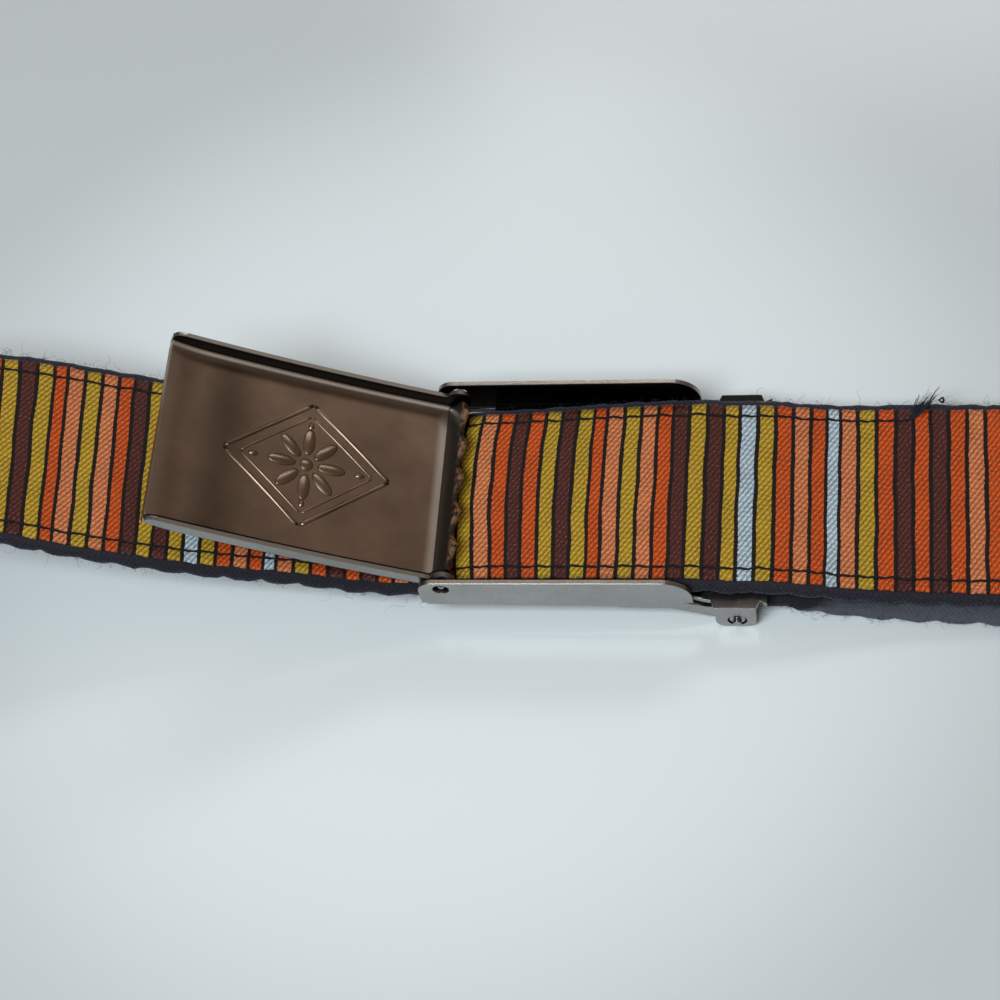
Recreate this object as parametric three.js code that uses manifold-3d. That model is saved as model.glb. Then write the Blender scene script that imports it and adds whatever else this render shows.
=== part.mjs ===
// Ribbon belt: cotton webbing with a striped ribbon sewn on its face, threaded
// through a sheet metal clamp buckle whose toothed cover stands open.
// Units are millimetres, +Z is up. While the pieces are made, x = 0 is the mouth
// end of the buckle frame, y = 0 the middle of the belt and z = 0 the underside
// of the frame's floor. The last lines move the belt so that the origin is in
// the middle of its box, on the surface that it lies on.
import * as THREE from 'three';
import { mergeVertices } from 'three/addons/utils/BufferGeometryUtils.js';
import Module from 'manifold-3d';

// Belt: 38 mm webbing, a little slack in the buckle, with a narrower ribbon.
const WEBBING_HALF_WIDTH = 19.35;
const WEBBING_THICKNESS = 1.1;
const RIBBON_EDGE_FAR = 18.2;
const RIBBON_EDGE_NEAR = -17.9;
const RIBBON_THICKNESS = 1.0;
const SEWN_GAP = 0.2;

// Buckle sheet metal.
const SHEET = 1.1;
const FIT_GAP = 0.3;

// Frame: a channel open on top, between two side walls.
const FRAME_LENGTH = 48.4;
const FRAME_HALF_WIDTH = 20.8;
const WALL_HEIGHT = 7.5;
const WALL_MOUTH_RADIUS = 3.0;
const WALL_TAIL_RADIUS = 5.6;
const FLOOR_START = 10.2;
const HINGE_X = 4.2;
const HINGE_Z = 5.2;
const HINGE_HOLE_RADIUS = 1.5;

// Tail of the frame's floor, stepped down, with an ear folded down each side.
const TAIL_END = 61.2;
const TAIL_STEP = 1.1;
const EAR_START = 52.0;
const EAR_END = 59.2;
const EAR_OUTER = 21.75;
const EAR_BOTTOM = -7.05;
const EAR_CORNER = 2.0;
const PIN_X = 55.8;
const PIN_Z = -4.8;
const PIN_RADIUS = 0.9;
const PIN_HEAD_RADIUS = 1.45;
const PIN_HEAD_SINK = 0.2;
const PIN_NIB_RADIUS = 0.75;
const PIN_NIB_LENGTH = 0.7;
const EAR_HOLE_RADIUS = 1.75;

// Half of the tail's plan, and the step from the floor down to the tail seen from the side.
const TAIL_PLAN_COLUMNS = ['x', 'halfWidth'];
const TAIL_PLAN = [
  [46.4, 19.7],
  [48.8, 19.7],
  [49.6, 19.9],
  [51.3, 20.2],
  [EAR_START, EAR_OUTER],
  [EAR_END, EAR_OUTER],
  [59.8, 20.3],
  [TAIL_END, 20.9],
];
const RAMP_START = 3.0;
const RAMP_RUN = 3.6;
const RAMP_FOOT = 1.0;

// Cover: a tray with a flange along each side, drawn closed about its hinge.
const COVER_LENGTH = 53.5;
const COVER_HALF_WIDTH = 19.1;
const COVER_TOP = 4.0;
const COVER_ROOT = 1.0;
const COVER_SHOULDER = 0.2;
const FLANGE_BOTTOM = 0.0;
const FLANGE_END = 52.9;
const FLANGE_CORNER = 2.4;
const HINGE_LUG_RADIUS = 2.2;
const HINGE_LUG_START_DEG = 57.6;
const BOSS_RADIUS = 1.2;
const BOSS_END = 20.5;
const LIP_START = 46.5;
const LIP_DROP = 0.8;
const LIP_STEPS = 4;
const COVER_OPEN_DEG = 153.2;

// The bend between the plate and the folded end, as steps away from its corner.
const BEND_COLUMNS = ['along', 'down'];
const BEND_OUTSIDE = [
  [-0.9, 0.55],
  [0.2, 0],
];
const BEND_INSIDE = [
  [1.1, 0],
  [0.35, 0.35],
];

// Teeth along the edge of the cover's folded end.
const TOOTH_TIP = [-1.4, -2.5];
const TOOTH_HEIGHT = 1.75;
const TOOTH_LEAN = 0.42;
const TOOTH_LAND = 0.8;
const TOOTH_PITCH = 6.94;
const TOOTH_COUNT = 5;
const TOOTH_FIRST_Y = -12.6;
const CAM_HALF_WIDTH = 17.3;
const CAM_START = 1.6;

// Raised ornament in the middle of the cover's inner face.
const ORNAMENT_X = 26.0;
const ORNAMENT_HEIGHT = 0.35;
const ORNAMENT_SINK = 0.3;
const ORNAMENT_LINE = 0.9;
const LOZENGE_HALF_LENGTH = 15.0;
const LOZENGE_HALF_WIDTH = 12.0;
const PETAL_COUNT = 8;
const PETAL_LENGTH = 5.2;
const PETAL_WIDTH = 2.2;
const PETAL_START = 2.0;

// Tail clamp: a plate under the floor, with a rail along each side.
const RAIL_INNER = 19.65;
const RAIL_OUTER = 20.35;
const RAIL_OVERLAP = 0.1;
const RAIL_EYE_RADIUS = 2.1;
const CLAMP_SHEET = 1.0;
const PROFILE_COLUMNS = ['x', 'z'];
const CLAMP_PLATE = [
  [10, -FIT_GAP - CLAMP_SHEET],
  [31.5, -FIT_GAP - CLAMP_SHEET],
  [35, -3.9],
  [45, -4.2],
  [51, -4.9],
  [51, -3.9],
  [45, -3.2],
  [35.6, -2.9],
  [32, -FIT_GAP],
  [10, -FIT_GAP],
];
const RAIL_UNDERSIDE = [
  [0.6, -FIT_GAP],
  [0.6, -1.4],
  [30, -2.0],
  [44, -2.9],
  [52.4, -6.4],
];
const RAIL_TOPSIDE = [
  [50.5, -2.2],
  [45, -FIT_GAP],
];

const DRILL_REACH = 3;
const CUT_MARGIN = 10;
const CURVE_STEPS = 8;
const WIDTH_COLUMNS = 6;

// The belt's middle line, from the free end through the buckle, round the loop
// and back to the tail clamp. z is the middle of its thickness. bank turns the
// belt about its own length: 0 lies flat, -90 stands on its far edge with the
// ribbon outwards. steps is the number of sections up to the next row.
const BELT_COLUMNS = ['x', 'y', 'z', 'bank', 'steps'];
const FREE_END = [
  [111.0, 0, -2.0, 4.2, 1],
  [100.0, 0, -2.05, 4.2, 1],
  [88.0, 0, -1.5, 3.9, 1],
  [76.0, 0, -0.9, 1.5, 2],
  [68.0, 0, 0.35, 0, 2],
  [61.0, 0, 1.5, 0, 1],
  [54.0, 0, 1.7, 0, 1],
  [49.0, 0, 2.45, 0, 1],
  [44.0, 0, 2.45, 0, 2],
];
const THROUGH_BUCKLE = [
  [16.0, 0, 2.45, 0, 1],
  [10.6, 0, 2.45, 0, 2],
  [7.4, 0, 1.85, 0, 2],
  [4.4, 0, 0.8, 0, 1],
  [1.5, 0, 0.65, 0, 1],
  [-8.0, 0.2, 0.9, 0.5, 2],
  [-22.0, 0.9, 2.4, -1.5, 2],
  [-40.0, 1.6, 5.2, 0, 3],
  [-60.0, 2.3, 10.6, 1.5, 3],
];
const LEFT_TURN = [
  [-80.0, 2.6, 17.6, -1, 3],
  [-100.0, 2.0, 22.2, -12, 4],
  [-120.0, -4.0, 21.2, -38, 4],
  [-139.0, -16.0, 17.0, -64, 4],
  [-155.0, -34.0, 13.4, -84, 3],
  [-164.0, -57.0, 12.2, -90, 3],
  [-163.0, -82.0, 12.15, -90, 3],
  [-152.0, -105.0, 12.15, -90, 3],
  [-132.0, -122.0, 12.15, -90, 3],
  [-105.0, -131.0, 12.15, -90, 3],
];
const BACK_RUN = [
  [-70.0, -135.0, 12.15, -90, 3],
  [-25.0, -137.5, 12.15, -90, 3],
  [25.0, -138.5, 12.15, -90, 3],
  [75.0, -137.0, 12.15, -90, 3],
  [118.0, -132.0, 12.15, -90, 3],
];
const RIGHT_TURN = [
  [150.0, -120.0, 12.15, -90, 3],
  [173.0, -100.0, 12.15, -90, 3],
  [185.0, -75.0, 12.15, -90, 3],
  [186.0, -50.0, 12.2, -86, 4],
  [178.0, -27.0, 11.5, -70, 4],
  [162.0, -10.0, 7.7, -46, 4],
  [144.0, -4.2, 1.9, -23, 4],
  [128.0, -2.9, -3.7, -6, 3],
];
const FIXED_END = [
  [113.0, -2.6, -5.9, 0, 2],
  [96.0, -2.1, -5.9, 0, 2],
  [80.0, -1.1, -5.85, 0, 2],
  [70.0, -0.3, -4.9, 0, 2],
  [62.0, 0, -3.2, 0, 1],
  [56.0, 0, -2.5, 0, 1],
  [50.0, 0, -2.5, 0, 2],
  [44.0, 0, -1.75, 0, 1],
  [36.5, 0, -1.5, 0, 0],
];

const FINISHES = {
  webbing: { color: 0x15161f, roughness: 0.95, metalness: 0 },
  ribbon: { color: 0xa3502c, roughness: 0.6, metalness: 0 },
  gunmetal: { color: 0x6a5a50, roughness: 0.38, metalness: 1 },
  steel: { color: 0x8f8f90, roughness: 0.35, metalness: 1 },
};

const wasm = await Module();
wasm.setup();

/** Turns a closed geometry into a solid that can be cut and joined. */
function toSolid(geometry) {
  const bare = geometry.index ? geometry.toNonIndexed() : geometry.clone();
  bare.deleteAttribute('normal');
  bare.deleteAttribute('uv');
  const merged = mergeVertices(bare, 1e-4);
  return new wasm.Manifold(new wasm.Mesh({
    numProp: 3,
    vertProperties: new Float32Array(merged.attributes.position.array),
    triVerts: new Uint32Array(merged.index.array),
  }));
}

/** Turns a solid back into a geometry. */
function toGeometry(solid) {
  const mesh = solid.getMesh();
  const geometry = new THREE.BufferGeometry();
  geometry.setAttribute('position', new THREE.BufferAttribute(mesh.vertProperties, 3));
  geometry.setIndex(new THREE.BufferAttribute(mesh.triVerts, 1));
  geometry.computeVertexNormals();
  return geometry;
}

/** Extrudes a side view, drawn in x and z, from y = from to y = to. */
function sideSolid(shape, from, to) {
  const geometry = new THREE.ExtrudeGeometry(shape, {
    depth: to - from, bevelEnabled: false, curveSegments: CURVE_STEPS,
  });
  geometry.rotateX(Math.PI / 2);
  geometry.translate(0, to, 0);
  return toSolid(geometry);
}

/** Extrudes a plan, drawn in x and y, from z = from to z = to. */
function planSolid(shape, from, to) {
  const geometry = new THREE.ExtrudeGeometry(shape, {
    depth: to - from, bevelEnabled: false, curveSegments: CURVE_STEPS,
  });
  geometry.translate(0, 0, from);
  return toSolid(geometry);
}

/** A straight-sided outline through [a, b] pairs. */
function outline(points) {
  return new THREE.Shape(points.map(([a, b]) => new THREE.Vector2(a, b)));
}

/** A rod across the belt at x, z, from y = from to y = to. */
function crossRod(x, z, radius, from, to, sides = 20) {
  const rod = new THREE.CylinderGeometry(radius, radius, to - from, sides);
  rod.translate(x, (from + to) / 2, z);
  return toSolid(rod);
}

/** A round hole's cutter through the wall at y = side times wall. */
function drill(x, z, radius, side, wall) {
  return crossRod(x, z, radius, side * wall - DRILL_REACH, side * wall + DRILL_REACH);
}

/** Reads a table of numbers into rows with named columns. */
function readTable(columns, table) {
  return table.map((row) => Object.fromEntries(columns.map((key, i) => [key, row[i]])));
}

/** Joins a list of solids. */
function join(solids) {
  return solids.reduce((whole, piece) => whole.add(piece));
}

/** A named mesh with one of the finishes. */
function piece(name, geometry, finish) {
  const mesh = new THREE.Mesh(geometry, new THREE.MeshStandardMaterial(FINISHES[finish]));
  mesh.name = name;
  return mesh;
}

/** One side wall seen from the side: a low plate with its top corners rounded. */
function wallOutline() {
  const shape = new THREE.Shape();
  shape.moveTo(0, 0);
  shape.lineTo(FRAME_LENGTH, 0);
  shape.lineTo(FRAME_LENGTH, WALL_HEIGHT - WALL_TAIL_RADIUS);
  shape.absarc(FRAME_LENGTH - WALL_TAIL_RADIUS, WALL_HEIGHT - WALL_TAIL_RADIUS,
    WALL_TAIL_RADIUS, 0, Math.PI / 2, false);
  shape.absarc(WALL_MOUTH_RADIUS, WALL_HEIGHT - WALL_MOUTH_RADIUS,
    WALL_MOUTH_RADIUS, Math.PI / 2, Math.PI, false);
  return shape;
}

/** The ear folded down at the tail: rounded below, drilled for the pin. */
function earOutline() {
  const shape = new THREE.Shape();
  shape.moveTo(EAR_END, 0 - TAIL_STEP + SHEET);
  shape.lineTo(EAR_START, 0 - TAIL_STEP + SHEET);
  shape.lineTo(EAR_START, EAR_BOTTOM + EAR_CORNER);
  shape.absarc(EAR_START + EAR_CORNER, EAR_BOTTOM + EAR_CORNER, EAR_CORNER, Math.PI, 1.5 * Math.PI, false);
  shape.absarc(EAR_END - EAR_CORNER, EAR_BOTTOM + EAR_CORNER, EAR_CORNER, 1.5 * Math.PI, 2 * Math.PI, false);
  return shape;
}

/** The tail of the floor in plan: a relief beside each ear and a square end. */
function tailPlan() {
  const rows = readTable(TAIL_PLAN_COLUMNS, TAIL_PLAN);
  const near = rows.map(({ x, halfWidth }) => [x, -halfWidth]);
  const far = rows.map(({ x, halfWidth }) => [x, halfWidth]).reverse();
  return outline([...near, ...far]);
}

/** The frame: floor, two walls with hinge holes, stepped tail and two ears. */
function buckleFrame() {
  const floorPlan = outline([
    [FLOOR_START, -FRAME_HALF_WIDTH],
    [FRAME_LENGTH, -FRAME_HALF_WIDTH],
    [FRAME_LENGTH, FRAME_HALF_WIDTH],
    [FLOOR_START, FRAME_HALF_WIDTH],
  ]);
  const rampStart = FRAME_LENGTH - RAMP_START;
  const rampEnd = rampStart + RAMP_RUN;
  const ramp = outline([
    [rampStart, 0],
    [rampEnd, -TAIL_STEP],
    [rampEnd + RAMP_FOOT, -TAIL_STEP],
    [rampEnd + RAMP_FOOT, SHEET - TAIL_STEP],
    [FRAME_LENGTH, SHEET],
    [rampStart, SHEET],
  ]);
  const rampHalfWidth = FRAME_HALF_WIDTH - SHEET;
  const underFloor = outline([
    [FRAME_LENGTH - CUT_MARGIN, -CUT_MARGIN],
    [FRAME_LENGTH, -CUT_MARGIN],
    [FRAME_LENGTH, CUT_MARGIN],
    [FRAME_LENGTH - CUT_MARGIN, CUT_MARGIN],
  ]);
  const cutHalfWidth = FRAME_HALF_WIDTH + CUT_MARGIN;
  const tailFlat = planSolid(tailPlan(), -TAIL_STEP, SHEET - TAIL_STEP)
    .subtract(sideSolid(underFloor, -cutHalfWidth, cutHalfWidth));
  const parts = [planSolid(floorPlan, 0, SHEET), sideSolid(ramp, -rampHalfWidth, rampHalfWidth), tailFlat];
  for (const side of [-1, 1]) {
    const outer = side * FRAME_HALF_WIDTH;
    const inner = side * (FRAME_HALF_WIDTH - SHEET);
    const wall = sideSolid(wallOutline(), Math.min(outer, inner), Math.max(outer, inner));
    parts.push(wall.subtract(drill(HINGE_X, HINGE_Z, HINGE_HOLE_RADIUS, side, FRAME_HALF_WIDTH)));
    const earOuter = side * EAR_OUTER;
    const earInner = side * (EAR_OUTER - SHEET);
    const ear = sideSolid(earOutline(), Math.min(earOuter, earInner), Math.max(earOuter, earInner));
    parts.push(ear.subtract(drill(PIN_X, PIN_Z, EAR_HOLE_RADIUS, side, EAR_OUTER)));
  }
  return join(parts);
}

/** The cover's sheet seen from the side: lip, plate and folded end. */
function coverSheetOutline() {
  const top = [];
  const bottom = [];
  for (let i = 0; i <= LIP_STEPS; i += 1) {
    const t = i / LIP_STEPS;
    const x = LIP_START + t * (COVER_LENGTH - LIP_START);
    const drop = LIP_DROP * t * t;
    top.push([x, COVER_TOP - drop]);
    bottom.unshift([x, COVER_TOP - drop - SHEET]);
  }
  const corner = ({ along, down }) => [COVER_ROOT + along, COVER_TOP - down];
  const outside = readTable(BEND_COLUMNS, BEND_OUTSIDE).map(corner);
  const inside = readTable(BEND_COLUMNS, BEND_INSIDE).map(corner).map(([x, z]) => [x, z - SHEET]);
  const [tipX, tipZ] = TOOTH_TIP;
  const fold = foldAngle();
  const land = [tipX + Math.sin(fold) * TOOTH_LAND, tipZ];
  return outline([...bottom, ...inside, land, [tipX, tipZ], ...outside, ...top].reverse());
}

/** How steeply the folded end rises from the teeth to the plate. */
function foldAngle() {
  const [tipX, tipZ] = TOOTH_TIP;
  return Math.atan2(COVER_TOP - SHEET / 2 - tipZ, COVER_ROOT - tipX);
}

/** Sharp teeth: what is cut from the folded end between one tip and the next. */
function toothGaps() {
  const [tipX, tipZ] = TOOTH_TIP;
  const fold = THREE.MathUtils.radToDeg(foldAngle());
  const gaps = [];
  for (let i = -1; i < TOOTH_COUNT; i += 1) {
    const low = TOOTH_FIRST_Y + i * TOOTH_PITCH;
    const high = low + TOOTH_PITCH;
    const root = low + TOOTH_LEAN * TOOTH_PITCH;
    const wedge = outline([[-SHEET, low], [TOOTH_HEIGHT, root], [-SHEET, high]]);
    const cut = planSolid(wedge, -DRILL_REACH, DRILL_REACH);
    gaps.push(cut.rotate([0, -fold, 0]).translate([tipX, 0, tipZ]));
  }
  return join(gaps);
}

/** One flange of the cover seen from the side, round about the hinge. */
function flangeOutline() {
  const shape = new THREE.Shape();
  const start = THREE.MathUtils.degToRad(HINGE_LUG_START_DEG);
  const end = 2 * Math.PI + Math.asin(FLANGE_BOTTOM / HINGE_LUG_RADIUS);
  const cornerX = FLANGE_END - FLANGE_CORNER;
  shape.moveTo(COVER_ROOT, COVER_TOP - COVER_SHOULDER);
  shape.absarc(0, 0, HINGE_LUG_RADIUS, start, end, false);
  shape.lineTo(cornerX, FLANGE_BOTTOM);
  shape.absarc(cornerX, FLANGE_BOTTOM + FLANGE_CORNER, FLANGE_CORNER, 1.5 * Math.PI, 2 * Math.PI, false);
  shape.lineTo(FLANGE_END, COVER_TOP - LIP_DROP - COVER_SHOULDER);
  shape.lineTo(LIP_START, COVER_TOP - COVER_SHOULDER);
  return shape;
}

/** A ring of petals and a lozenge line, raised from the inner face. */
function ornament() {
  const face = COVER_TOP - SHEET;
  const from = face - ORNAMENT_HEIGHT;
  const to = face + ORNAMENT_SINK;
  const lozenge = (grow) => outline([
    [LOZENGE_HALF_LENGTH + grow, 0],
    [0, LOZENGE_HALF_WIDTH + grow],
    [-LOZENGE_HALF_LENGTH - grow, 0],
    [0, -LOZENGE_HALF_WIDTH - grow],
  ]);
  const band = lozenge(ORNAMENT_LINE);
  band.holes.push(new THREE.Path(lozenge(0).getPoints()));
  const raised = [planSolid(band, from, to)];
  for (let i = 0; i < PETAL_COUNT; i += 1) {
    const petal = new THREE.Shape();
    petal.moveTo(PETAL_START, 0);
    petal.quadraticCurveTo(PETAL_START + PETAL_LENGTH / 2, -PETAL_WIDTH, PETAL_START + PETAL_LENGTH, 0);
    petal.quadraticCurveTo(PETAL_START + PETAL_LENGTH / 2, PETAL_WIDTH, PETAL_START, 0);
    raised.push(planSolid(petal, from, to).rotate([0, 0, (360 * i) / PETAL_COUNT]));
  }
  return join(raised).translate([ORNAMENT_X, 0, 0]);
}

/** The cover: sheet, flanges with hinge bosses, teeth and ornament. */
function buckleCover() {
  const sheetHalfWidth = COVER_HALF_WIDTH - SHEET / 2;
  let sheet = sideSolid(coverSheetOutline(), -sheetHalfWidth, sheetHalfWidth).subtract(toothGaps());
  for (const side of [-1, 1]) {
    const [low, high] = [side * CAM_HALF_WIDTH, side * (CAM_HALF_WIDTH + CUT_MARGIN)].sort((a, b) => a - b);
    const relief = outline([
      [CAM_START - CUT_MARGIN, low],
      [CAM_START, low],
      [CAM_START, high],
      [CAM_START - CUT_MARGIN, high],
    ]);
    sheet = sheet.subtract(planSolid(relief, -CUT_MARGIN, COVER_TOP - SHEET));
  }
  const parts = [sheet, ornament()];
  for (const side of [-1, 1]) {
    const outer = side * COVER_HALF_WIDTH;
    const inner = side * (COVER_HALF_WIDTH - SHEET);
    parts.push(sideSolid(flangeOutline(), Math.min(outer, inner), Math.max(outer, inner)));
    const bossStart = side * sheetHalfWidth;
    const bossEnd = side * BOSS_END;
    parts.push(crossRod(0, 0, BOSS_RADIUS, Math.min(bossStart, bossEnd), Math.max(bossStart, bossEnd)));
  }
  return join(parts);
}

/** The tail clamp: a plate stepped round the belt's end, with two rails. */
function tailClamp() {
  const corner = ({ x, z }) => new THREE.Vector2(x, z);
  const plate = new THREE.Shape(readTable(PROFILE_COLUMNS, CLAMP_PLATE).map(corner).reverse());
  const rail = new THREE.Shape(readTable(PROFILE_COLUMNS, RAIL_UNDERSIDE).map(corner));
  rail.absarc(PIN_X, PIN_Z, RAIL_EYE_RADIUS, 1.3 * Math.PI, 2.6 * Math.PI, false);
  for (const { x, z } of readTable(PROFILE_COLUMNS, RAIL_TOPSIDE)) {
    rail.lineTo(x, z);
  }
  const plateHalfWidth = RAIL_INNER + RAIL_OVERLAP;
  const parts = [sideSolid(plate, -plateHalfWidth, plateHalfWidth)];
  for (const side of [-1, 1]) {
    const from = Math.min(side * RAIL_INNER, side * RAIL_OUTER);
    const to = Math.max(side * RAIL_INNER, side * RAIL_OUTER);
    const hole = drill(PIN_X, PIN_Z, PIN_RADIUS + FIT_GAP, side, RAIL_OUTER);
    parts.push(sideSolid(rail, from, to).subtract(hole));
  }
  return join(parts);
}

/** The pin through the ears: a rod with a head and a nib at each end. */
function tailPin() {
  const headStart = EAR_OUTER - SHEET;
  const headEnd = EAR_OUTER - PIN_HEAD_SINK;
  const parts = [crossRod(PIN_X, PIN_Z, PIN_RADIUS, -headEnd, headEnd)];
  const steps = [
    [PIN_HEAD_RADIUS, headStart, headEnd],
    [PIN_NIB_RADIUS, headStart, EAR_OUTER + PIN_NIB_LENGTH],
  ];
  for (const side of [-1, 1]) {
    for (const [radius, a, b] of steps) {
      parts.push(crossRod(PIN_X, PIN_Z, radius, Math.min(side * a, side * b), Math.max(side * a, side * b)));
    }
  }
  return join(parts);
}

/** The belt's sections in order: middle point, width direction and face direction. */
function beltSections() {
  const tables = [FREE_END, THROUGH_BUCKLE, LEFT_TURN, BACK_RUN, RIGHT_TURN, FIXED_END];
  const rows = readTable(BELT_COLUMNS, tables.flat());
  const line = new THREE.CatmullRomCurve3(rows.map((row) => new THREE.Vector3(row.x, row.y, row.z)));
  const banks = new THREE.SplineCurve(rows.map((row, i) => new THREE.Vector2(row.bank, i)));
  const up = new THREE.Vector3(0, 0, 1);
  const sections = [];
  rows.forEach((row, i) => {
    const count = Math.max(row.steps, 1);
    for (let k = 0; k < count; k += 1) {
      const t = (i + k / count) / (rows.length - 1);
      if (t <= 1) {
        const tangent = line.getTangent(t);
        const level = new THREE.Vector3().crossVectors(tangent, up).normalize();
        const bank = THREE.MathUtils.degToRad(banks.getPoint(t).x);
        const width = level.applyAxisAngle(tangent, -bank);
        const face = new THREE.Vector3().crossVectors(width, tangent).normalize();
        sections.push({ middle: line.getPoint(t), width, face });
      }
    }
  });
  return sections;
}

/** Sweeps a flat band along the sections. columns are its points across the width. */
function bandGeometry(sections, columns, low, high) {
  const ring = columns.map((across) => [across, high]);
  ring.push(...columns.map((across) => [across, low]).reverse());
  const positions = [];
  for (const { middle, width, face } of sections) {
    for (const [across, lift] of ring) {
      const point = middle.clone().addScaledVector(width, across).addScaledVector(face, lift);
      positions.push(point.x, point.y, point.z);
    }
  }
  const count = ring.length;
  const index = [];
  for (let s = 0; s < sections.length - 1; s += 1) {
    for (let k = 0; k < count; k += 1) {
      const a = s * count + k;
      const b = s * count + ((k + 1) % count);
      if (k < columns.length) {
        index.push(a, b, a + count, b, b + count, a + count);
      } else {
        index.push(a, b, b + count, a, b + count, a + count);
      }
    }
  }
  const last = (sections.length - 1) * count;
  for (let i = 0; i < columns.length - 1; i += 1) {
    const j = count - 1 - i;
    index.push(i, j, i + 1, i + 1, j, j - 1);
    index.push(last + i, last + i + 1, last + j, last + i + 1, last + j - 1, last + j);
  }
  const geometry = new THREE.BufferGeometry();
  geometry.setAttribute('position', new THREE.Float32BufferAttribute(positions, 3));
  geometry.setIndex(index);
  return geometry;
}

const sections = beltSections();
const half = (WEBBING_THICKNESS + SEWN_GAP + RIBBON_THICKNESS) / 2;
const webbingTop = -half + WEBBING_THICKNESS;
const ribbonColumns = Array.from({ length: WIDTH_COLUMNS + 1 }, (_, i) => (
  THREE.MathUtils.lerp(RIBBON_EDGE_NEAR, RIBBON_EDGE_FAR, i / WIDTH_COLUMNS)));
const webbingColumns = [-WEBBING_HALF_WIDTH, ...ribbonColumns, WEBBING_HALF_WIDTH];
const webbing = bandGeometry(sections, webbingColumns, -half, webbingTop);
const ribbon = bandGeometry(sections, ribbonColumns, webbingTop + SEWN_GAP, half);

const belt = new THREE.Group();
belt.add(piece('webbing', webbing, 'webbing'));
belt.add(piece('ribbon', ribbon, 'ribbon'));
belt.add(piece('buckle_frame', toGeometry(buckleFrame()), 'steel'));
belt.add(piece('tail_clamp', toGeometry(tailClamp()), 'steel'));
belt.add(piece('tail_pin', toGeometry(tailPin()), 'steel'));

const cover = piece('buckle_cover', toGeometry(buckleCover()), 'gunmetal');
cover.position.set(HINGE_X, 0, HINGE_Z);
cover.rotation.y = -THREE.MathUtils.degToRad(COVER_OPEN_DEG);
belt.add(cover);

belt.updateMatrixWorld(true);
const box = new THREE.Box3().setFromObject(belt, true);
const middle = box.getCenter(new THREE.Vector3());
belt.position.set(-middle.x, -middle.y, -box.min.z);

export default belt;
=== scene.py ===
"""Dresses a ribbon belt: cotton web belt, striped ribbon on its face, clamp buckle standing open.

Shapes are worked out in millimetres in the buckle's own axes: x = 0 at the mouth end of the
buckle frame, y = 0 in the middle of the belt, z = 0 on the underside of the frame's floor.
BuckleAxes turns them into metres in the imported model's frame.
"""

import logging
import math
from dataclasses import dataclass, field
from enum import Enum
from functools import reduce

import bmesh
import bpy
import numpy as np
from mathutils import Matrix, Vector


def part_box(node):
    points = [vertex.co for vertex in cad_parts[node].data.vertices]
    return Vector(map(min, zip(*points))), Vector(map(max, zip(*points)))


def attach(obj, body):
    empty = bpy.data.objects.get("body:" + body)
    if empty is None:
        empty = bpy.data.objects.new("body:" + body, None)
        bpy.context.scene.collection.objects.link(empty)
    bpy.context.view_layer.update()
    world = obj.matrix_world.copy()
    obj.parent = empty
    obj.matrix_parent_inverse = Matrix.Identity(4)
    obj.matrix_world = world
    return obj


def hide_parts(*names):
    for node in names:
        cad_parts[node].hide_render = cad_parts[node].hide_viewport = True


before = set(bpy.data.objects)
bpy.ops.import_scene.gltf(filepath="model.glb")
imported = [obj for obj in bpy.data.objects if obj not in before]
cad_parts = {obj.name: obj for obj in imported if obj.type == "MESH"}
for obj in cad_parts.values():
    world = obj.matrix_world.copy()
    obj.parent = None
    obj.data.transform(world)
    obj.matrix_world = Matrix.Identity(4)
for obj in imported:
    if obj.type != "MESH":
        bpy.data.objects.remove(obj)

Array = np.ndarray
MILLIMETRE = 0.001
RIPPLE_STRETCHES = (1.0, 1.37, 1.93, 0.71, 0.53)
RIPPLE_PEAK = 2.6
LOG = logging.getLogger("ribbon_belt")


class Body(Enum):
    """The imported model's moving bodies."""

    ROOT = "root"
    COVER = "cover"


class Slot(Enum):
    """The record's material slots."""

    WEBBING = "webbing"
    RIBBON = "ribbon"
    STEEL = "frame_steel"
    COVER = "cover_metal"


@dataclass(frozen=True)
class BuckleAxes:
    """The buckle's own axes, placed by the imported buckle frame.

    Args:
        ear_depth: how far the ears reach below the underside of the floor.
    """

    ear_depth: float = 7.05

    def origin(self) -> Array:
        """Gives the buckle's zero point in metres."""
        low, high = (np.array(corner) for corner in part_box("buckle_frame"))
        return np.array([low[0], (low[1] + high[1]) / 2, low[2] + self.ear_depth * MILLIMETRE])

    def place(self, points: Array) -> Array:
        """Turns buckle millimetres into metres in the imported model's frame."""
        return self.origin() + np.asarray(points, float) * MILLIMETRE

    def table(self) -> float:
        """Gives the table's height in buckle millimetres, which is the belt's lowest point."""
        return -float(self.origin()[2]) / MILLIMETRE


AXES = BuckleAxes()


def unit(vectors: Array) -> Array:
    """Scales each vector to a length of one."""
    return vectors / np.linalg.norm(vectors, axis=-1, keepdims=True)


def ripple(position: Array, seed: int, period: float) -> Array:
    """A smooth irregular wave between about -1 and 1: five sines of unlike periods and phases.

    Args:
        position: where the wave is read, in the units of period.
        seed: picks the phases.
        period: about one bump to the next.
    """
    draw = np.random.default_rng(seed)
    wave = np.zeros_like(np.asarray(position, float))
    for stretch in RIPPLE_STRETCHES:
        wave += np.sin(2 * math.pi * position / (period * stretch) + draw.uniform(0, 2 * math.pi))
    return wave / RIPPLE_PEAK


def linked(name: str, data: bpy.types.ID) -> bpy.types.Object:
    """Makes an object of data and links it to the scene."""
    made = bpy.data.objects.new(name, data)
    bpy.context.scene.collection.objects.link(made)
    return made


def stand(piece: bpy.types.Object, right: Array, up: Array, back: Array, place: Array) -> None:
    """Stands an object at a place in metres, its axes x, y and z along right, up and back."""
    matrix = np.eye(4)
    matrix[:3] = np.stack([right, up, back, place], -1)
    piece.matrix_world = Matrix(matrix.tolist())


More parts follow.
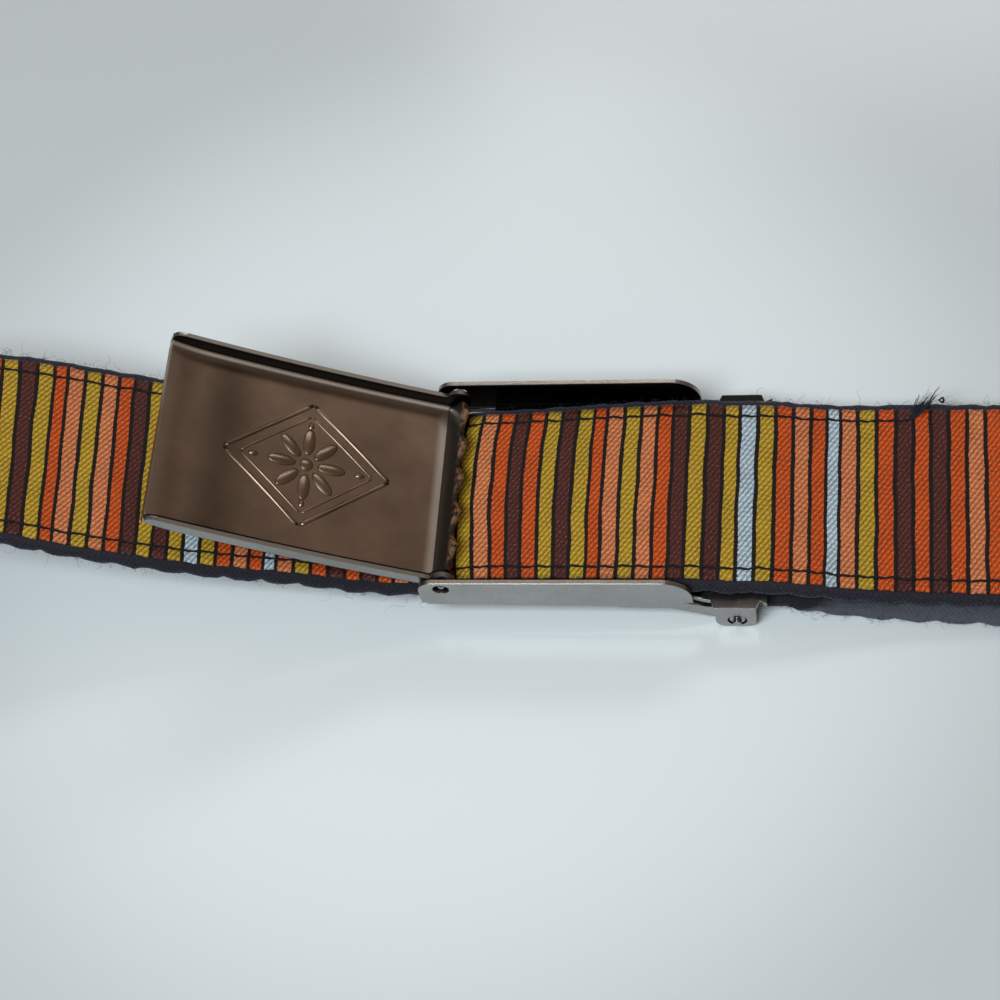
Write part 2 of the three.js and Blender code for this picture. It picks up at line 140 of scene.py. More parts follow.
def break_edges(piece: bpy.types.Object, radius: float, angle: float, segments: int) -> bpy.types.Modifier:
    """Rounds a piece's sharp edges, while its flat faces stay flat.

    Args:
        piece: what is rounded.
        radius: of the rounding, mm.
        angle: from how many degrees on an edge is sharp.
        segments: faces round an edge.

    Returns:
        The modifier that rounds.
    """
    bevel = piece.modifiers.new("broken_edges", "BEVEL")
    bevel.width = radius * MILLIMETRE
    bevel.segments = segments
    bevel.limit_method = "ANGLE"
    bevel.angle_limit = math.radians(angle)
    shading = piece.modifiers.new("flat_faces", "WEIGHTED_NORMAL")
    shading.keep_sharp = False
    return bevel


@dataclass
class Skin:
    """A mesh in the making: points in buckle millimetres, faces, and values for the materials.

    Args:
        points: one row for each point.
        quads: four point numbers for each face.
        quad_uv: the cloth coordinates in metres of each quad's corners, or None.
        caps: arrays of faces with any one number of corners each.
        values: named numbers, one for each point.
    """

    points: Array
    quads: Array
    quad_uv: Array | None = None
    caps: list[Array] = field(default_factory=list)
    values: dict[str, Array] = field(default_factory=dict)

    def joined(self, other: "Skin") -> "Skin":
        """Gives both skins as one. Cloth coordinates and values of both are dropped."""
        step = len(self.points)
        return Skin(
            points=np.vstack([self.points, other.points]),
            quads=np.vstack([self.quads, other.quads + step]),
            caps=self.caps + [cap + step for cap in other.caps],
        )

    def build(self, name: str, material: bpy.types.Material, smooth: bool = True) -> bpy.types.Object:
        """Makes the mesh object, with its place in its mesh.

        Args:
            name: the piece's name.
            material: its finish.
            smooth: whether its faces are shaded smooth.

        Returns:
            The new object, linked to the scene.
        """
        mesh = bpy.data.meshes.new(name)
        faces = [self.quads, *self.caps]
        corners = np.concatenate([part.ravel() for part in faces]).astype(np.int32)
        totals = np.concatenate([np.full(len(part), part.shape[1]) for part in faces]).astype(np.int32)
        starts = (np.cumsum(totals) - totals).astype(np.int32)
        mesh.vertices.add(len(self.points))
        mesh.vertices.foreach_set("co", AXES.place(self.points).astype(np.float32).ravel())
        mesh.loops.add(len(corners))
        mesh.loops.foreach_set("vertex_index", corners)
        mesh.polygons.add(len(totals))
        mesh.polygons.foreach_set("loop_start", starts)
        mesh.polygons.foreach_set("loop_total", totals)
        mesh.polygons.foreach_set("use_smooth", np.full(len(totals), smooth))
        if self.quad_uv is not None:
            rest = np.zeros((len(corners) - self.quads.size, 2))
            uv = np.vstack([self.quad_uv.reshape(-1, 2), rest]).astype(np.float32)
            mesh.uv_layers.new(name="cloth").uv.foreach_set("vector", uv.ravel())
        for key, numbers in self.values.items():
            attribute = mesh.attributes.new(key, "FLOAT", "POINT")
            attribute.data.foreach_set("value", np.asarray(numbers, np.float32).ravel())
        mesh.update(calc_edges=True)
        mesh.validate()
        mesh.materials.append(material)
        return linked(name, mesh)


def lattice(rows: int, columns: int, closed: bool) -> tuple[Array, Array, Array]:
    """Numbers the quads of a grid of points laid out row by row.

    Args:
        rows: number of rows.
        columns: number of points in each row.
        closed: whether the last column joins the first.

    Returns:
        The quads, and the row and the unwrapped column of each of their corners.
    """
    across = columns if closed else columns - 1
    row, column = np.meshgrid(np.arange(rows - 1), np.arange(across), indexing="ij")
    corner_rows = np.stack([row, row, row + 1, row + 1], -1).reshape(-1, 4)
    corner_columns = np.stack([column, column + 1, column + 1, column], -1).reshape(-1, 4)
    quads = corner_rows * columns + corner_columns % columns
    return quads, corner_rows, corner_columns


def ringed(grid: Array, flipped: bool = False) -> Skin:
    """Joins rings of points into a closed skin, with a cap at both ends.

    Args:
        grid: one ring in each row: (rings, points, 3).
        flipped: whether the faces are turned over.

    Returns:
        The closed skin.
    """
    rings, count, _ = grid.shape
    quads, _, _ = lattice(rings, count, True)
    first = np.arange(count)[None]
    faces = [quads, first[:, ::-1], first + (rings - 1) * count]
    quads, *caps = [part[:, ::-1] for part in faces] if flipped else faces
    return Skin(points=grid.reshape(-1, 3), quads=quads, caps=caps)

def plate(grid: Array, thickness: float) -> Skin:
    """Gives a grid of points a thickness: both faces lie half of it along the grid's normals.

    The normal at a point is the cross product of the grid's two gradients. The two faces are
    joined by a rim round the grid's border.

    Args:
        grid: points of the middle surface: (rows, columns, 3).
        thickness: of the wall.

    Returns:
        The closed wall.
    """
    rows, columns, _ = grid.shape
    normal = unit(np.cross(np.gradient(grid, axis=1), np.gradient(grid, axis=0)))
    faces = np.concatenate([grid + normal * thickness / 2, grid - normal * thickness / 2])
    quads, _, _ = lattice(rows, columns, False)
    count = rows * columns
    number = np.arange(count).reshape(rows, columns)
    border = np.concatenate([number[0], number[1:, -1], number[-1, -2::-1], number[-2:0:-1, 0]])
    onward = np.roll(border, -1)
    rim = np.stack([border, onward, onward + count, border + count], -1)
    walls = np.vstack([quads, quads[:, ::-1] + count, rim[:, ::-1]])
    return Skin(points=faces.reshape(-1, 3), quads=walls)


def tubes(paths: Array, radius: Array, sides: int) -> Skin:
    """Carries a round section along many paths at once.

    Each ring is the path's point plus radius times the cosine and sine of the turn along two
    directions square to the path: one level, the other the cross product of path and level.

    Args:
        paths: points, one row for each path: (paths, steps, 3).
        radius: one for each point: (paths, steps).
        sides: corners of the section.

    Returns:
        All the tubes as one skin, each closed by a face at both ends.
    """
    count, steps, _ = paths.shape
    along = unit(np.gradient(paths, axis=1))
    lean = np.where(np.abs(along[..., 2:3]) > 0.9, np.array([1.0, 0, 0]), np.array([0, 0, 1.0]))
    level = unit(np.cross(along, lean))
    upright = np.cross(level, along)
    turn = 2 * math.pi * np.arange(sides) / sides
    ring = level[:, :, None] * np.cos(turn)[:, None] + upright[:, :, None] * np.sin(turn)[:, None]
    points = paths[:, :, None] + radius[:, :, None, None] * ring
    quads, _, _ = lattice(steps, sides, True)
    firsts = np.arange(count)[:, None, None] * steps * sides
    start = np.arange(sides)[::-1]
    ends = np.stack([start, np.arange(sides) + (steps - 1) * sides])
    return Skin(
        points=points.reshape(-1, 3),
        quads=(quads[None] + firsts).reshape(-1, 4)[:, ::-1],
        caps=[(ends[None] + firsts).reshape(-1, sides)[:, ::-1]],
    )


@dataclass(frozen=True)
class Value:
    """A number socket that takes part in Python expressions, each of which adds a Math node."""

    graph: "Graph"
    socket: bpy.types.NodeSocket

    def __add__(self, other: "Value | float") -> "Value":
        """Adds."""
        return self.graph.math("ADD", self, other)

    def __sub__(self, other: "Value | float") -> "Value":
        """Takes other away."""
        return self.graph.math("SUBTRACT", self, other)

    def __rsub__(self, other: float) -> "Value":
        """Is taken away from a number."""
        return self.graph.math("SUBTRACT", other, self)

    def __mul__(self, other: "Value | float") -> "Value":
        """Multiplies."""
        return self.graph.math("MULTIPLY", self, other)

    def swing(self, amount: float) -> "Value":
        """Turns 0 to 1 into half of amount below 0 to half of amount above it."""
        return (self - 0.5) * amount
    def floor(self) -> "Value":
        """Rounds down."""
        return self.graph.math("FLOOR", self)

    def sine(self) -> "Value":
        """Takes the sine of radians."""
        return self.graph.math("SINE", self)

    def absolute(self) -> "Value":
        """Drops the sign."""
        return self.graph.math("ABSOLUTE", self)

    def least(self, other: "Value | float") -> "Value":
        """Gives the smaller of the two."""
        return self.graph.math("MINIMUM", self, other)

    def most(self, other: "Value | float") -> "Value":
        """Gives the larger of the two."""
        return self.graph.math("MAXIMUM", self, other)

    def rise(self, low: float, high: float) -> "Value":
        """Goes smoothly from 0 at low to 1 at high."""
        settings = {"interpolation_type": "SMOOTHSTEP"}
        limits = {"Value": self, "From Min": low, "From Max": high}
        node = self.graph.node("ShaderNodeMapRange", settings, limits)
        return Value(self.graph, node.outputs["Result"])


Link = Value | bpy.types.NodeSocket
Colour = tuple[float, float, float]


class Graph:
    """The nodes of one material, ending in a Principled shader."""

    def __init__(self, name: str, metal: bool = False) -> None:
        """Makes an empty material.

        Args:
            name: the finish's name.
            metal: whether the shader is metallic.
        """
        self.material = bpy.data.materials.new(name)
        self.material.use_nodes = True
        self.tree = self.material.node_tree
        self.tree.nodes.clear()
        self.shader = self.node("ShaderNodeBsdfPrincipled", {}, {"Metallic": float(metal)})
        self.node("ShaderNodeOutputMaterial", {}, {"Surface": self.shader.outputs["BSDF"]})

    def node(self, kind: str, settings: dict, inputs: dict) -> bpy.types.Node:
        """Adds a node.

        Args:
            kind: the node's type.
            settings: its properties, set first; stops gives a colour ramp's positions and colours.
            inputs: values or links, by the socket's identifier or name.

        Returns:
            The new node.
        """
        node = self.tree.nodes.new(kind)
        for key, setting in settings.items():
            if key == "stops":
                self.set_stops(node.color_ramp, setting)
            else:
                setattr(node, key, setting)
        for key, value in inputs.items():
            sockets = [socket for socket in node.inputs if key in (socket.identifier, socket.name)]
            exact = [socket for socket in sockets if socket.identifier == key]
            self.feed((exact or sockets)[0], value)
        return node

    def feed(self, socket: bpy.types.NodeSocket, value: Link | Colour | float) -> None:
        """Links a socket to a value, or sets it to a plain one."""
        source = value.socket if isinstance(value, Value) else value
        if isinstance(source, bpy.types.NodeSocket):
            self.tree.links.new(source, socket)
        elif isinstance(source, tuple) and socket.type == "RGBA":
            socket.default_value = (*source, 1.0)
        else:
            socket.default_value = source
    @staticmethod
    def set_stops(ramp: bpy.types.ColorRamp, stops: list[tuple[float, Colour]]) -> None:
        """Gives a ramp constant colours from each position on."""
        ramp.interpolation = "CONSTANT"
        while len(ramp.elements) < len(stops):
            ramp.elements.new(1.0)
        for element, (position, colour) in zip(ramp.elements, stops):
            element.position = position
            element.color = (*colour, 1.0)

    def math(self, operation: str, *terms: Link | float) -> Value:
        """Adds a Math node."""
        names = ("Value", "Value_001")
        node = self.node("ShaderNodeMath", {"operation": operation}, dict(zip(names, terms)))
        return Value(self, node.outputs["Value"])

    def cloth(self) -> tuple[Value, Value]:
        """Gives the cloth coordinates in millimetres: along the belt and across it."""
        uv = self.node("ShaderNodeUVMap", {"uv_map": "cloth"}, {}).outputs["UV"]
        parts = self.node("ShaderNodeSeparateXYZ", {}, {"Vector": uv})
        return Value(self, parts.outputs["X"]) * 1000.0, Value(self, parts.outputs["Y"]) * 1000.0

    def place(self) -> tuple[Value, Value, Value]:
        """Gives the Object coordinates in buckle millimetres."""
        here = self.node("ShaderNodeTexCoord", {}, {}).outputs["Object"]
        parts = self.node("ShaderNodeSeparateXYZ", {}, {"Vector": here})
        zero = AXES.origin()
        return tuple(
            (Value(self, parts.outputs[axis]) - float(start)) * 1000.0 for axis, start in zip("XYZ", zero)
        )

    def noise(
        self,
        place: tuple[Value, ...],
        scales: tuple[float, ...],
        detail: float = 2.0,
        roughness: float = 0.5,
        level: float = 0.0,
    ) -> Value:
        """Reads noise, from 0 to 1.

        Args:
            place: two or three coordinates in mm.
            scales: bumps to a millimetre along each of them.
            detail: number of finer layers.
            roughness: how strong the finer layers are.
            level: the third coordinate, in bumps, where place has only two.

        Returns:
            The noise at the place.
        """
        scaled = [coordinate * scale for coordinate, scale in zip(place, scales)]
        inputs = dict(zip("XYZ", [*scaled, level]))
        point = self.node("ShaderNodeCombineXYZ", {}, inputs).outputs["Vector"]
        sockets = {"Vector": point, "Scale": 1.0, "Detail": detail, "Roughness": roughness}
        return Value(self, self.node("ShaderNodeTexNoise", {}, sockets).outputs["Fac"])

    def blend(self, factor: Link | float, low: Link | Colour, high: Link | Colour, how: str = "MIX") -> Link:
        """Mixes two colours."""
        settings = {"data_type": "RGBA", "blend_type": how}
        inputs = {"Factor_Float": factor, "A_Color": low, "B_Color": high}
        outputs = self.node("ShaderNodeMix", settings, inputs).outputs
        return next(output for output in outputs if output.identifier == "Result_Color")

    def shade(self, colour: Link | Colour, amount: Value) -> Link:
        """Multiplies a colour by a number."""
        inputs = {"Vector": colour, "Scale": amount}
        return self.node("ShaderNodeVectorMath", {"operation": "SCALE"}, inputs).outputs["Vector"]

    def bump(self, height: Value, depth_mm: float) -> bpy.types.NodeSocket:
        """Makes a normal from a height between 0 and 1 of the given depth."""
        inputs = {"Height": height, "Distance": depth_mm * MILLIMETRE, "Strength": 1.0}
        return self.node("ShaderNodeBump", {}, inputs).outputs["Normal"]

    def finish(self, **sockets: Link | Colour | float) -> bpy.types.Material:
        """Feeds the shader's sockets, named with underscores for spaces, and gives the material."""
        for key, value in sockets.items():
            self.feed(self.shader.inputs[key.replace("_", " ")], value)
        return self.material


def srgb(red: int, green: int, blue: int) -> Colour:
    """Turns a colour as a screen shows it, 0 to 255, into linear light."""
    parts = np.array([red, green, blue]) / 255
    linear = np.where(parts <= 0.04045, parts / 12.92, ((parts + 0.055) / 1.055) ** 2.4)
    return tuple(float(part) for part in linear)


class Yarn(Enum):
    """The ribbon's stripe colours."""

    OLIVE = srgb(182, 146, 35)
    SALMON = srgb(207, 121, 75)
    ORANGE = srgb(198, 78, 12)
    BURGUNDY = srgb(80, 32, 25)
    SKY = srgb(176, 193, 205)


STRIPES = (
    (Yarn.OLIVE, 3.0), (Yarn.SALMON, 3.2), (Yarn.ORANGE, 3.0), (Yarn.BURGUNDY, 2.5), (Yarn.ORANGE, 3.0),
    (Yarn.OLIVE, 3.1), (Yarn.BURGUNDY, 2.9), (Yarn.OLIVE, 3.1), (Yarn.ORANGE, 2.3), (Yarn.SALMON, 3.2),
    (Yarn.OLIVE, 3.1), (Yarn.SALMON, 3.1), (Yarn.ORANGE, 2.8), (Yarn.BURGUNDY, 2.8), (Yarn.OLIVE, 3.2),
    (Yarn.BURGUNDY, 2.9), (Yarn.OLIVE, 2.9), (Yarn.SKY, 3.2), (Yarn.OLIVE, 3.1), (Yarn.ORANGE, 3.1),
    (Yarn.SALMON, 3.2), (Yarn.ORANGE, 2.8), (Yarn.SKY, 2.3), (Yarn.SALMON, 3.3), (Yarn.OLIVE, 3.3),
    (Yarn.ORANGE, 3.3), (Yarn.BURGUNDY, 3.1), (Yarn.ORANGE, 3.1), (Yarn.BURGUNDY, 3.0), (Yarn.ORANGE, 3.2),
    (Yarn.SALMON, 3.3), (Yarn.ORANGE, 3.0), (Yarn.SKY, 2.8), (Yarn.ORANGE, 3.0),
)


@dataclass(frozen=True)
class StripedTwill:
    """Striped twill ribbon: a float coloured stripe between thin dark warp lines.

    Args:
        separator: colour of the dark lines.
        glint: colour of the light that the brightest floats catch.
        half_line: half of a dark line's width, as a share of a stripe.
        sway: how far a line sways, as a share of a stripe.
        fray: how far a line's edges fray, as a share of a stripe.
        rib_pitch: from one twill rib to the next, mm.
        float_ribs: from one float's end to the next, in ribs.
        rib_angle: how far the ribs lean from the belt's length, degrees.
        rib_wander: how far the ribs wander, radians of a rib.
        relief: depth of the ribs, mm.
    """

    separator: Colour = srgb(16, 9, 8)
    glint: Colour = (0.46, 0.36, 0.32)
    half_line: float = 0.114
    sway: float = 0.22
    fray: float = 0.12
    rib_pitch: float = 0.8
    float_ribs: float = 1.35
    rib_angle: float = 54.0
    rib_wander: float = 1.6
    relief: float = 0.11

    def material(self) -> bpy.types.Material:
        """Makes the finish, whose stripes follow the point attribute named stripe."""
        graph = Graph("striped_twill")
        cloth = along, across = graph.cloth()
        attribute = graph.node("ShaderNodeAttribute", {"attribute_name": "stripe"}, {})
        sway = graph.noise(cloth, (0.16, 0.12), detail=1.0, level=3.0)
        fray = graph.noise(cloth, (1.1, 2.6), detail=1.0, level=7.0)
        stripe = Value(graph, attribute.outputs["Fac"]) + sway.swing(self.sway) + fray.swing(self.fray)
        number = graph.math("FLOORED_MODULO", stripe.floor(), float(len(STRIPES)))
        inside = stripe - stripe.floor()
        yarn = self.yarn_colour(graph, number)

        lean = math.radians(self.rib_angle)
        rib = along * -math.sin(lean) - across * math.cos(lean)
        crossing = along * math.cos(lean) - across * math.sin(lean)
        warp = graph.noise(cloth, (0.7, 0.7), detail=1.0, level=1.0).swing(self.rib_wander)
        ridge = (rib * (2 * math.pi / self.rib_pitch) + warp).sine() * 0.5 + 0.5
        float_turn = 2 * math.pi / (self.rib_pitch * self.float_ribs)
        float_end = (crossing * float_turn + rib * 3.0 + warp).sine() * 0.5 + 0.5
        speck = graph.noise(cloth, (3.6, 3.6), roughness=0.7, level=2.0)
        patch = graph.noise(cloth, (0.22, 0.2), level=5.0)
        glint = speck.rise(0.56, 0.76)
        thread = ridge * (float_end * 0.5 + 0.5)
        height = thread * 0.8 + speck * 0.4

        edge = inside.least(1.0 - inside) + speck.swing(0.03)
        line = edge.rise(self.half_line - 0.012, self.half_line + 0.02)
        # painted light and shade on the ribs and floats, plus random yarn tone from speck and patch; glint
        # adds painted highlights
        light = thread * 0.85 + speck.swing(1.5) + patch.swing(0.4) + glint * 0.3 + 0.42
        lit = graph.blend(glint * thread * 0.8, graph.shade(yarn, light), self.glint)
        return graph.finish(
            Base_Color=graph.blend(line, self.separator, lit),
            Roughness=0.72 - line * 0.14,
            Normal=graph.bump(height * (line * 0.55 + 0.45), self.relief),
            Specular_IOR_Level=0.22,
            Sheen_Weight=0.06,
            Sheen_Roughness=0.5,
        )

    @staticmethod
    def yarn_colour(graph: Graph, number: Value) -> Link:
        """Looks a stripe's colour up in the chart, in two halves because of a ramp's limit.

        Args:
            graph: the material's nodes.
            number: the stripe's whole number, from 0.

        Returns:
            The yarn's colour.
        """
        half = len(STRIPES) // 2
        place = (number + 0.5) * (1 / half)
        ramps = []
        for first in (0, half):
            stops = [(i / half, STRIPES[first + i][0].value) for i in range(half)]
            inputs = {"Fac": place - first / half}
            ramps.append(graph.node("ShaderNodeValToRGB", {"stops": stops}, inputs).outputs["Color"])
        return graph.blend(graph.math("GREATER_THAN", number, half - 0.5), *ramps)


@dataclass(frozen=True)
class NavyCotton:
    """Napped navy cotton, as webbing or as yarn.

    Args:
        name: the finish's name.
        base: the cotton's colour.
        lint: colour of the pale fibres on it.
        lint_share: about how much of it is pale, 0 to 1.
        relief: depth of the weave, mm; none where it is 0.
        weft_pitch: from one weft yarn to the next, mm.
        warp_pitch: from one warp yarn to the next, mm.
        selvedge: grey painted on the fixed end's near edge, which is smooth: a painted shadow of the belt's
            edge on the table.
        shadow_x: where along the belt the painted shadow begins and where it is full.
        shadow_y: the same across the belt.
        shadow_z: the same in height.
    """

    name: str = "navy_cotton"
    base: Colour = srgb(35, 34, 40)
    lint: Colour = srgb(112, 116, 130)
    lint_share: float = 0.5
    relief: float = 0.22
    weft_pitch: float = 0.92
    warp_pitch: float = 0.84
    selvedge: Colour = srgb(84, 87, 96)
    shadow_x: tuple[float, float] = (58.0, 68.0)
    shadow_y: tuple[float, float] = (-16.0, -18.0)
    shadow_z: tuple[float, float] = (-4.2, -4.9)

    def material(self) -> bpy.types.Material:
        """Makes the finish: plain weave of thick yarns, with paler napped fibres, and a painted shadow in
        grey on the fixed end's near edge.
        """
        graph = Graph(self.name)
        if not self.relief:
            return graph.finish(Base_Color=self.base, Roughness=0.8, Specular_IOR_Level=0.25)
        cloth = along, across = graph.cloth()
        bend = graph.noise(cloth, (0.5, 0.5)).swing(2.4)
        weft = (along * (2 * math.pi / self.weft_pitch) + bend).sine()
        warp = (across * (2 * math.pi / self.warp_pitch) + along * 0.5 + bend).sine()
        yarns = weft * warp * 0.5 + 0.5
        fibre = graph.noise(cloth, (5.2, 3.1), detail=3.0, roughness=0.65, level=4.0)
        nap = graph.noise(cloth, (1.3, 1.6), detail=3.0, roughness=0.6, level=9.0)
        pale = (fibre * 0.7 + nap * 0.45).rise(0.62, 0.86) * self.lint_share
        x, y, z = graph.place()
        # painted shadow: a grey band on the fixed end's near edge stands in for the belt's shadow on the
        # table
        tone_and_painted_light = x.rise(*self.shadow_x) * y.rise(*self.shadow_y) * z.rise(*self.shadow_z)
        shaded = graph.shade(self.base, yarns * 0.7 + 0.6)
        ground = graph.blend(tone_and_painted_light * (nap * 0.4 + 0.6), shaded, self.selvedge)
        return graph.finish(
            Base_Color=graph.blend(pale, ground, self.lint),
            Roughness=0.93,
            Normal=graph.bump(yarns * 0.5 + fibre * 0.45 + nap * 0.3, self.relief),
            Specular_IOR_Level=0.18,
            Sheen_Weight=0.35,
            Sheen_Roughness=0.55,
            Sheen_Tint=srgb(150, 158, 190),
        )


@dataclass(frozen=True)
class CoverAxes:
    """The closed cover's axes: x along it from the hinge, z up; as shown it is turned open.

    Args:
        hinge: x and z of the hinge.
        open_angle: degrees from closed to as shown.
        length: from the hinge to the free end.
        bow: how far the cover bulges outwards half way along.
    """

    hinge: tuple[float, float] = (4.2, 5.2)
    open_angle: float = 153.2
    length: float = 53.5
    bow: float = 0.8

    def opened(self, points: Array) -> Array:
        """Bows points along the cover as a parabola and turns them from closed to open."""
        turn = math.radians(self.open_angle)
        x, y, z = np.moveaxis(points, -1, 0)
        part = np.clip(x / self.length, 0, 1)
        z = z + 4 * self.bow * part * (1 - part)
        turned = (x * math.cos(turn) - z * math.sin(turn), y, x * math.sin(turn) + z * math.cos(turn))
        return np.stack(turned, -1) + np.array([self.hinge[0], 0.0, self.hinge[1]])

    def closed(self, x: Value, z: Value) -> tuple[Value, Value]:
        """Turns a material's x and z back to the closed, straight cover's."""
        turn = math.radians(self.open_angle)
        east, up = x - self.hinge[0], z - self.hinge[1]
        along = east * math.cos(turn) + up * math.sin(turn)
        above = up * math.cos(turn) - east * math.sin(turn)
        part = (along * (1 / self.length)).most(0.0).least(1.0)
        return along, above - part * (1.0 - part) * (4 * self.bow)


COVER_AXES = CoverAxes()


@dataclass(frozen=True)
class SatinMetal:
    """Plated sheet steel with a satin grain, a few scratches and a bloom of wear.

    Args:
        name: the finish's name.
        base: the metal's colour.
        bloom: colour of the cloudy patches.
        roughness: of the bare satin.
        grain: depth of the grain, mm.
        painted_highlight: colour of the painted highlights on rims and teeth.
    """

    name: str
    base: Colour
    bloom: Colour
    roughness: float
    grain: float
    painted_highlight: Colour = srgb(214, 208, 200)

    def tone_and_painted_light(self, graph: Graph, colour: Link, place: tuple[Value, Value, Value]) -> Link:
        """Gives the colour after the tone and the painted light and shade that a finish adds at a place:
        nothing here.
        """
        return colour

    def material(self) -> bpy.types.Material:
        """Makes the finish from noise at three scales on Object coordinates."""
        graph = Graph(self.name, metal=True)
        place = x, y, z = graph.place()
        fine = graph.noise(place, (8.0, 8.0, 8.0), roughness=0.6)
        cloud = graph.noise(place, (0.09, 0.09, 0.12), detail=3.0, roughness=0.55)
        wear = graph.noise(place, (0.5, 0.5, 0.5), detail=4.0, roughness=0.7)
        streak = graph.noise((x * 0.12 + y * 0.05, y, z), (1.0, 2.1, 2.1))
        scratch = (streak - 0.5).absolute().rise(0.012, 0.0)
        clouded = cloud.rise(0.35, 0.75) * 0.6 + wear.rise(0.5, 0.8) * 0.3
        # the finish's tone with its painted light and shade
        colour = self.tone_and_painted_light(graph, graph.blend(clouded, self.base, self.bloom), place)
        return graph.finish(
            Base_Color=graph.shade(colour, fine.swing(0.35) + 1.0),
            Roughness=fine.swing(0.18) + cloud.swing(0.14) + scratch * 0.06 + self.roughness,
            Normal=graph.bump(fine * 0.9 + wear * 0.25 - scratch * 0.12, self.grain),
        )


@dataclass(frozen=True)
class FrameMetal(SatinMetal):
    """The frame's steel: painted black shade within the walls and on the far ear, with painted highlights on
    the rims.

    Args:
        inner: distance of a wall's inner face from the belt's middle.
        wall_top: height of the walls.
        ear_x: where the ears start.
        inside_shade: how dark the painted shade within the walls is, 0 to 1.
        ear_shade: how dark the painted shade on the far ear is.
    """

    inner: float = 19.7
    wall_top: float = 7.5
    ear_x: float = 51.0
    inside_shade: float = 0.985
    ear_shade: float = 0.9

    def tone_and_painted_light(self, graph: Graph, colour: Link, place: tuple[Value, Value, Value]) -> Link:
        """Paints shade on what lies within the walls above the floor's underside and on the far ear, and
        paints highlights on the rims.
        """
        x, y, z = place
        aside = y.absolute()
        # painted shade: the walls' inner faces and the far ear are darkened where shade falls
        inside = aside.rise(self.inner + 0.3, self.inner + 0.2) * z.rise(0.1, 0.4)
        ear = y.rise(self.inner + 0.5, self.inner + 0.8) * x.rise(self.ear_x - 0.5, self.ear_x)
        outside = aside.rise(self.inner + 0.3, self.inner + 0.4)
        # painted highlight along the outer top edge of the walls
        rim = outside * z.rise(self.wall_top - 0.2, self.wall_top - 0.1)
        colour = graph.blend(rim, colour, self.painted_highlight)
        return graph.shade(colour, (1.0 - inside * self.inside_shade) * (1.0 - ear * self.ear_shade))


@dataclass(frozen=True)
class CoverMetal(SatinMetal):
    """The cover's plating: brown inside, with painted black shade on the flanges' inner faces and painted
    highlights on their rims.

    Args:
        bend_highlight: colour of the painted highlights on the far bend, the free end and the hinge's end.
        inner_face: colour of the plate's inner side.
        inner: distance of a flange's inner face from the belt's middle.
        band: where along the plate a band of painted shade lies.
        band_depth: how much darker the painted shade makes it, 0 to 1.
        cloudiness: how uneven the brown is.
        bend_highlight_strength: how strong the painted highlight on the far bend is, 0 to 1.
        lip_highlight_strength: how strong the painted highlight on the free end is.
        hinge_highlight_strength: how strong the painted highlight on the hinge's end is.
        flange_shade: how dark the painted shade on the flanges' inner faces is.
    """

    bend_highlight: Colour = (0.72, 0.66, 0.60)
    inner_face: Colour = (0.212, 0.150, 0.106)
    inner: float = 18.0
    band: tuple[float, float] = (37.0, 47.0)
    band_depth: float = 0.46
    cloudiness: float = 0.9
    bend_highlight_strength: float = 0.8
    lip_highlight_strength: float = 0.2
    hinge_highlight_strength: float = 0.5
    flange_shade: float = 0.97

    def tone_and_painted_light(self, graph: Graph, colour: Link, place: tuple[Value, Value, Value]) -> Link:
        """Works in the closed cover's axes: the brown inner face with its cloudy tone, a band of painted
        shade, painted highlights on the bends, the free end and the rims, and painted shade on the flanges'
        inner faces.
        """
        x, y, z = place
        along, above = COVER_AXES.closed(x, z)
        aside = y.absolute()
        inner = self.inner
        low, high = self.band
        middle = (low + high) / 2
        # painted shade: a darker band across the plate, in the valley before the free end's curl
        dark = along.rise(low - 3.0, middle) * along.rise(high + 2.0, middle)
        plate_face = aside.rise(inner + 0.15, inner)
        # painted shade on the flanges' inner faces
        flange = aside.rise(inner - 0.12, inner - 0.02) * aside.rise(inner + 0.35, inner + 0.25)
        # painted highlight on the flanges' rims
        rim = aside.rise(inner + 0.3, inner + 0.4) * above.rise(0.2, 0.05) * along.rise(2.5, 3.5)
        # painted highlights on the far bend, the free end and the hinge's end
        bend = y.rise(inner - 2.2, inner - 0.3) * self.bend_highlight_strength
        edge = (along.rise(50.0, 53.0) * self.lip_highlight_strength).most(along.rise(3.2, 1.6) * self.hinge_highlight_strength)
        cloud = graph.noise(place, (0.09, 0.09, 0.09), detail=3.0, roughness=0.6)
        # the band of painted shade times the random cloudy tone of the brown
        dusk = (1.0 - dark * self.band_depth) * (cloud.swing(self.cloudiness) + 1.0)
        inside = graph.blend(bend.most(edge), graph.shade(self.inner_face, dusk), self.bend_highlight)
        colour = graph.blend(plate_face, colour, inside)
        colour = graph.blend(rim, colour, self.painted_highlight)
        return graph.shade(colour, 1.0 - flange * self.flange_shade)


@dataclass(frozen=True)
class FoldedMetal(SatinMetal):
    """The folded end's plating: nearly black, with painted bronze highlights on the teeth."""

    def tone_and_painted_light(self, graph: Graph, colour: Link, place: tuple[Value, Value, Value]) -> Link:
        """Blends to bronze over the teeth, in patches: painted highlights on the teeth's edges."""
        x, _, z = place
        _, above = COVER_AXES.closed(x, z)
        patch = graph.noise(place, (1.1, 1.1, 1.1), detail=3.0, roughness=0.6).rise(0.38, 0.56)
        # painted highlight on the teeth's edges, in patches
        return graph.blend(above.rise(-1.2, -2.0) * patch, colour, self.painted_highlight)


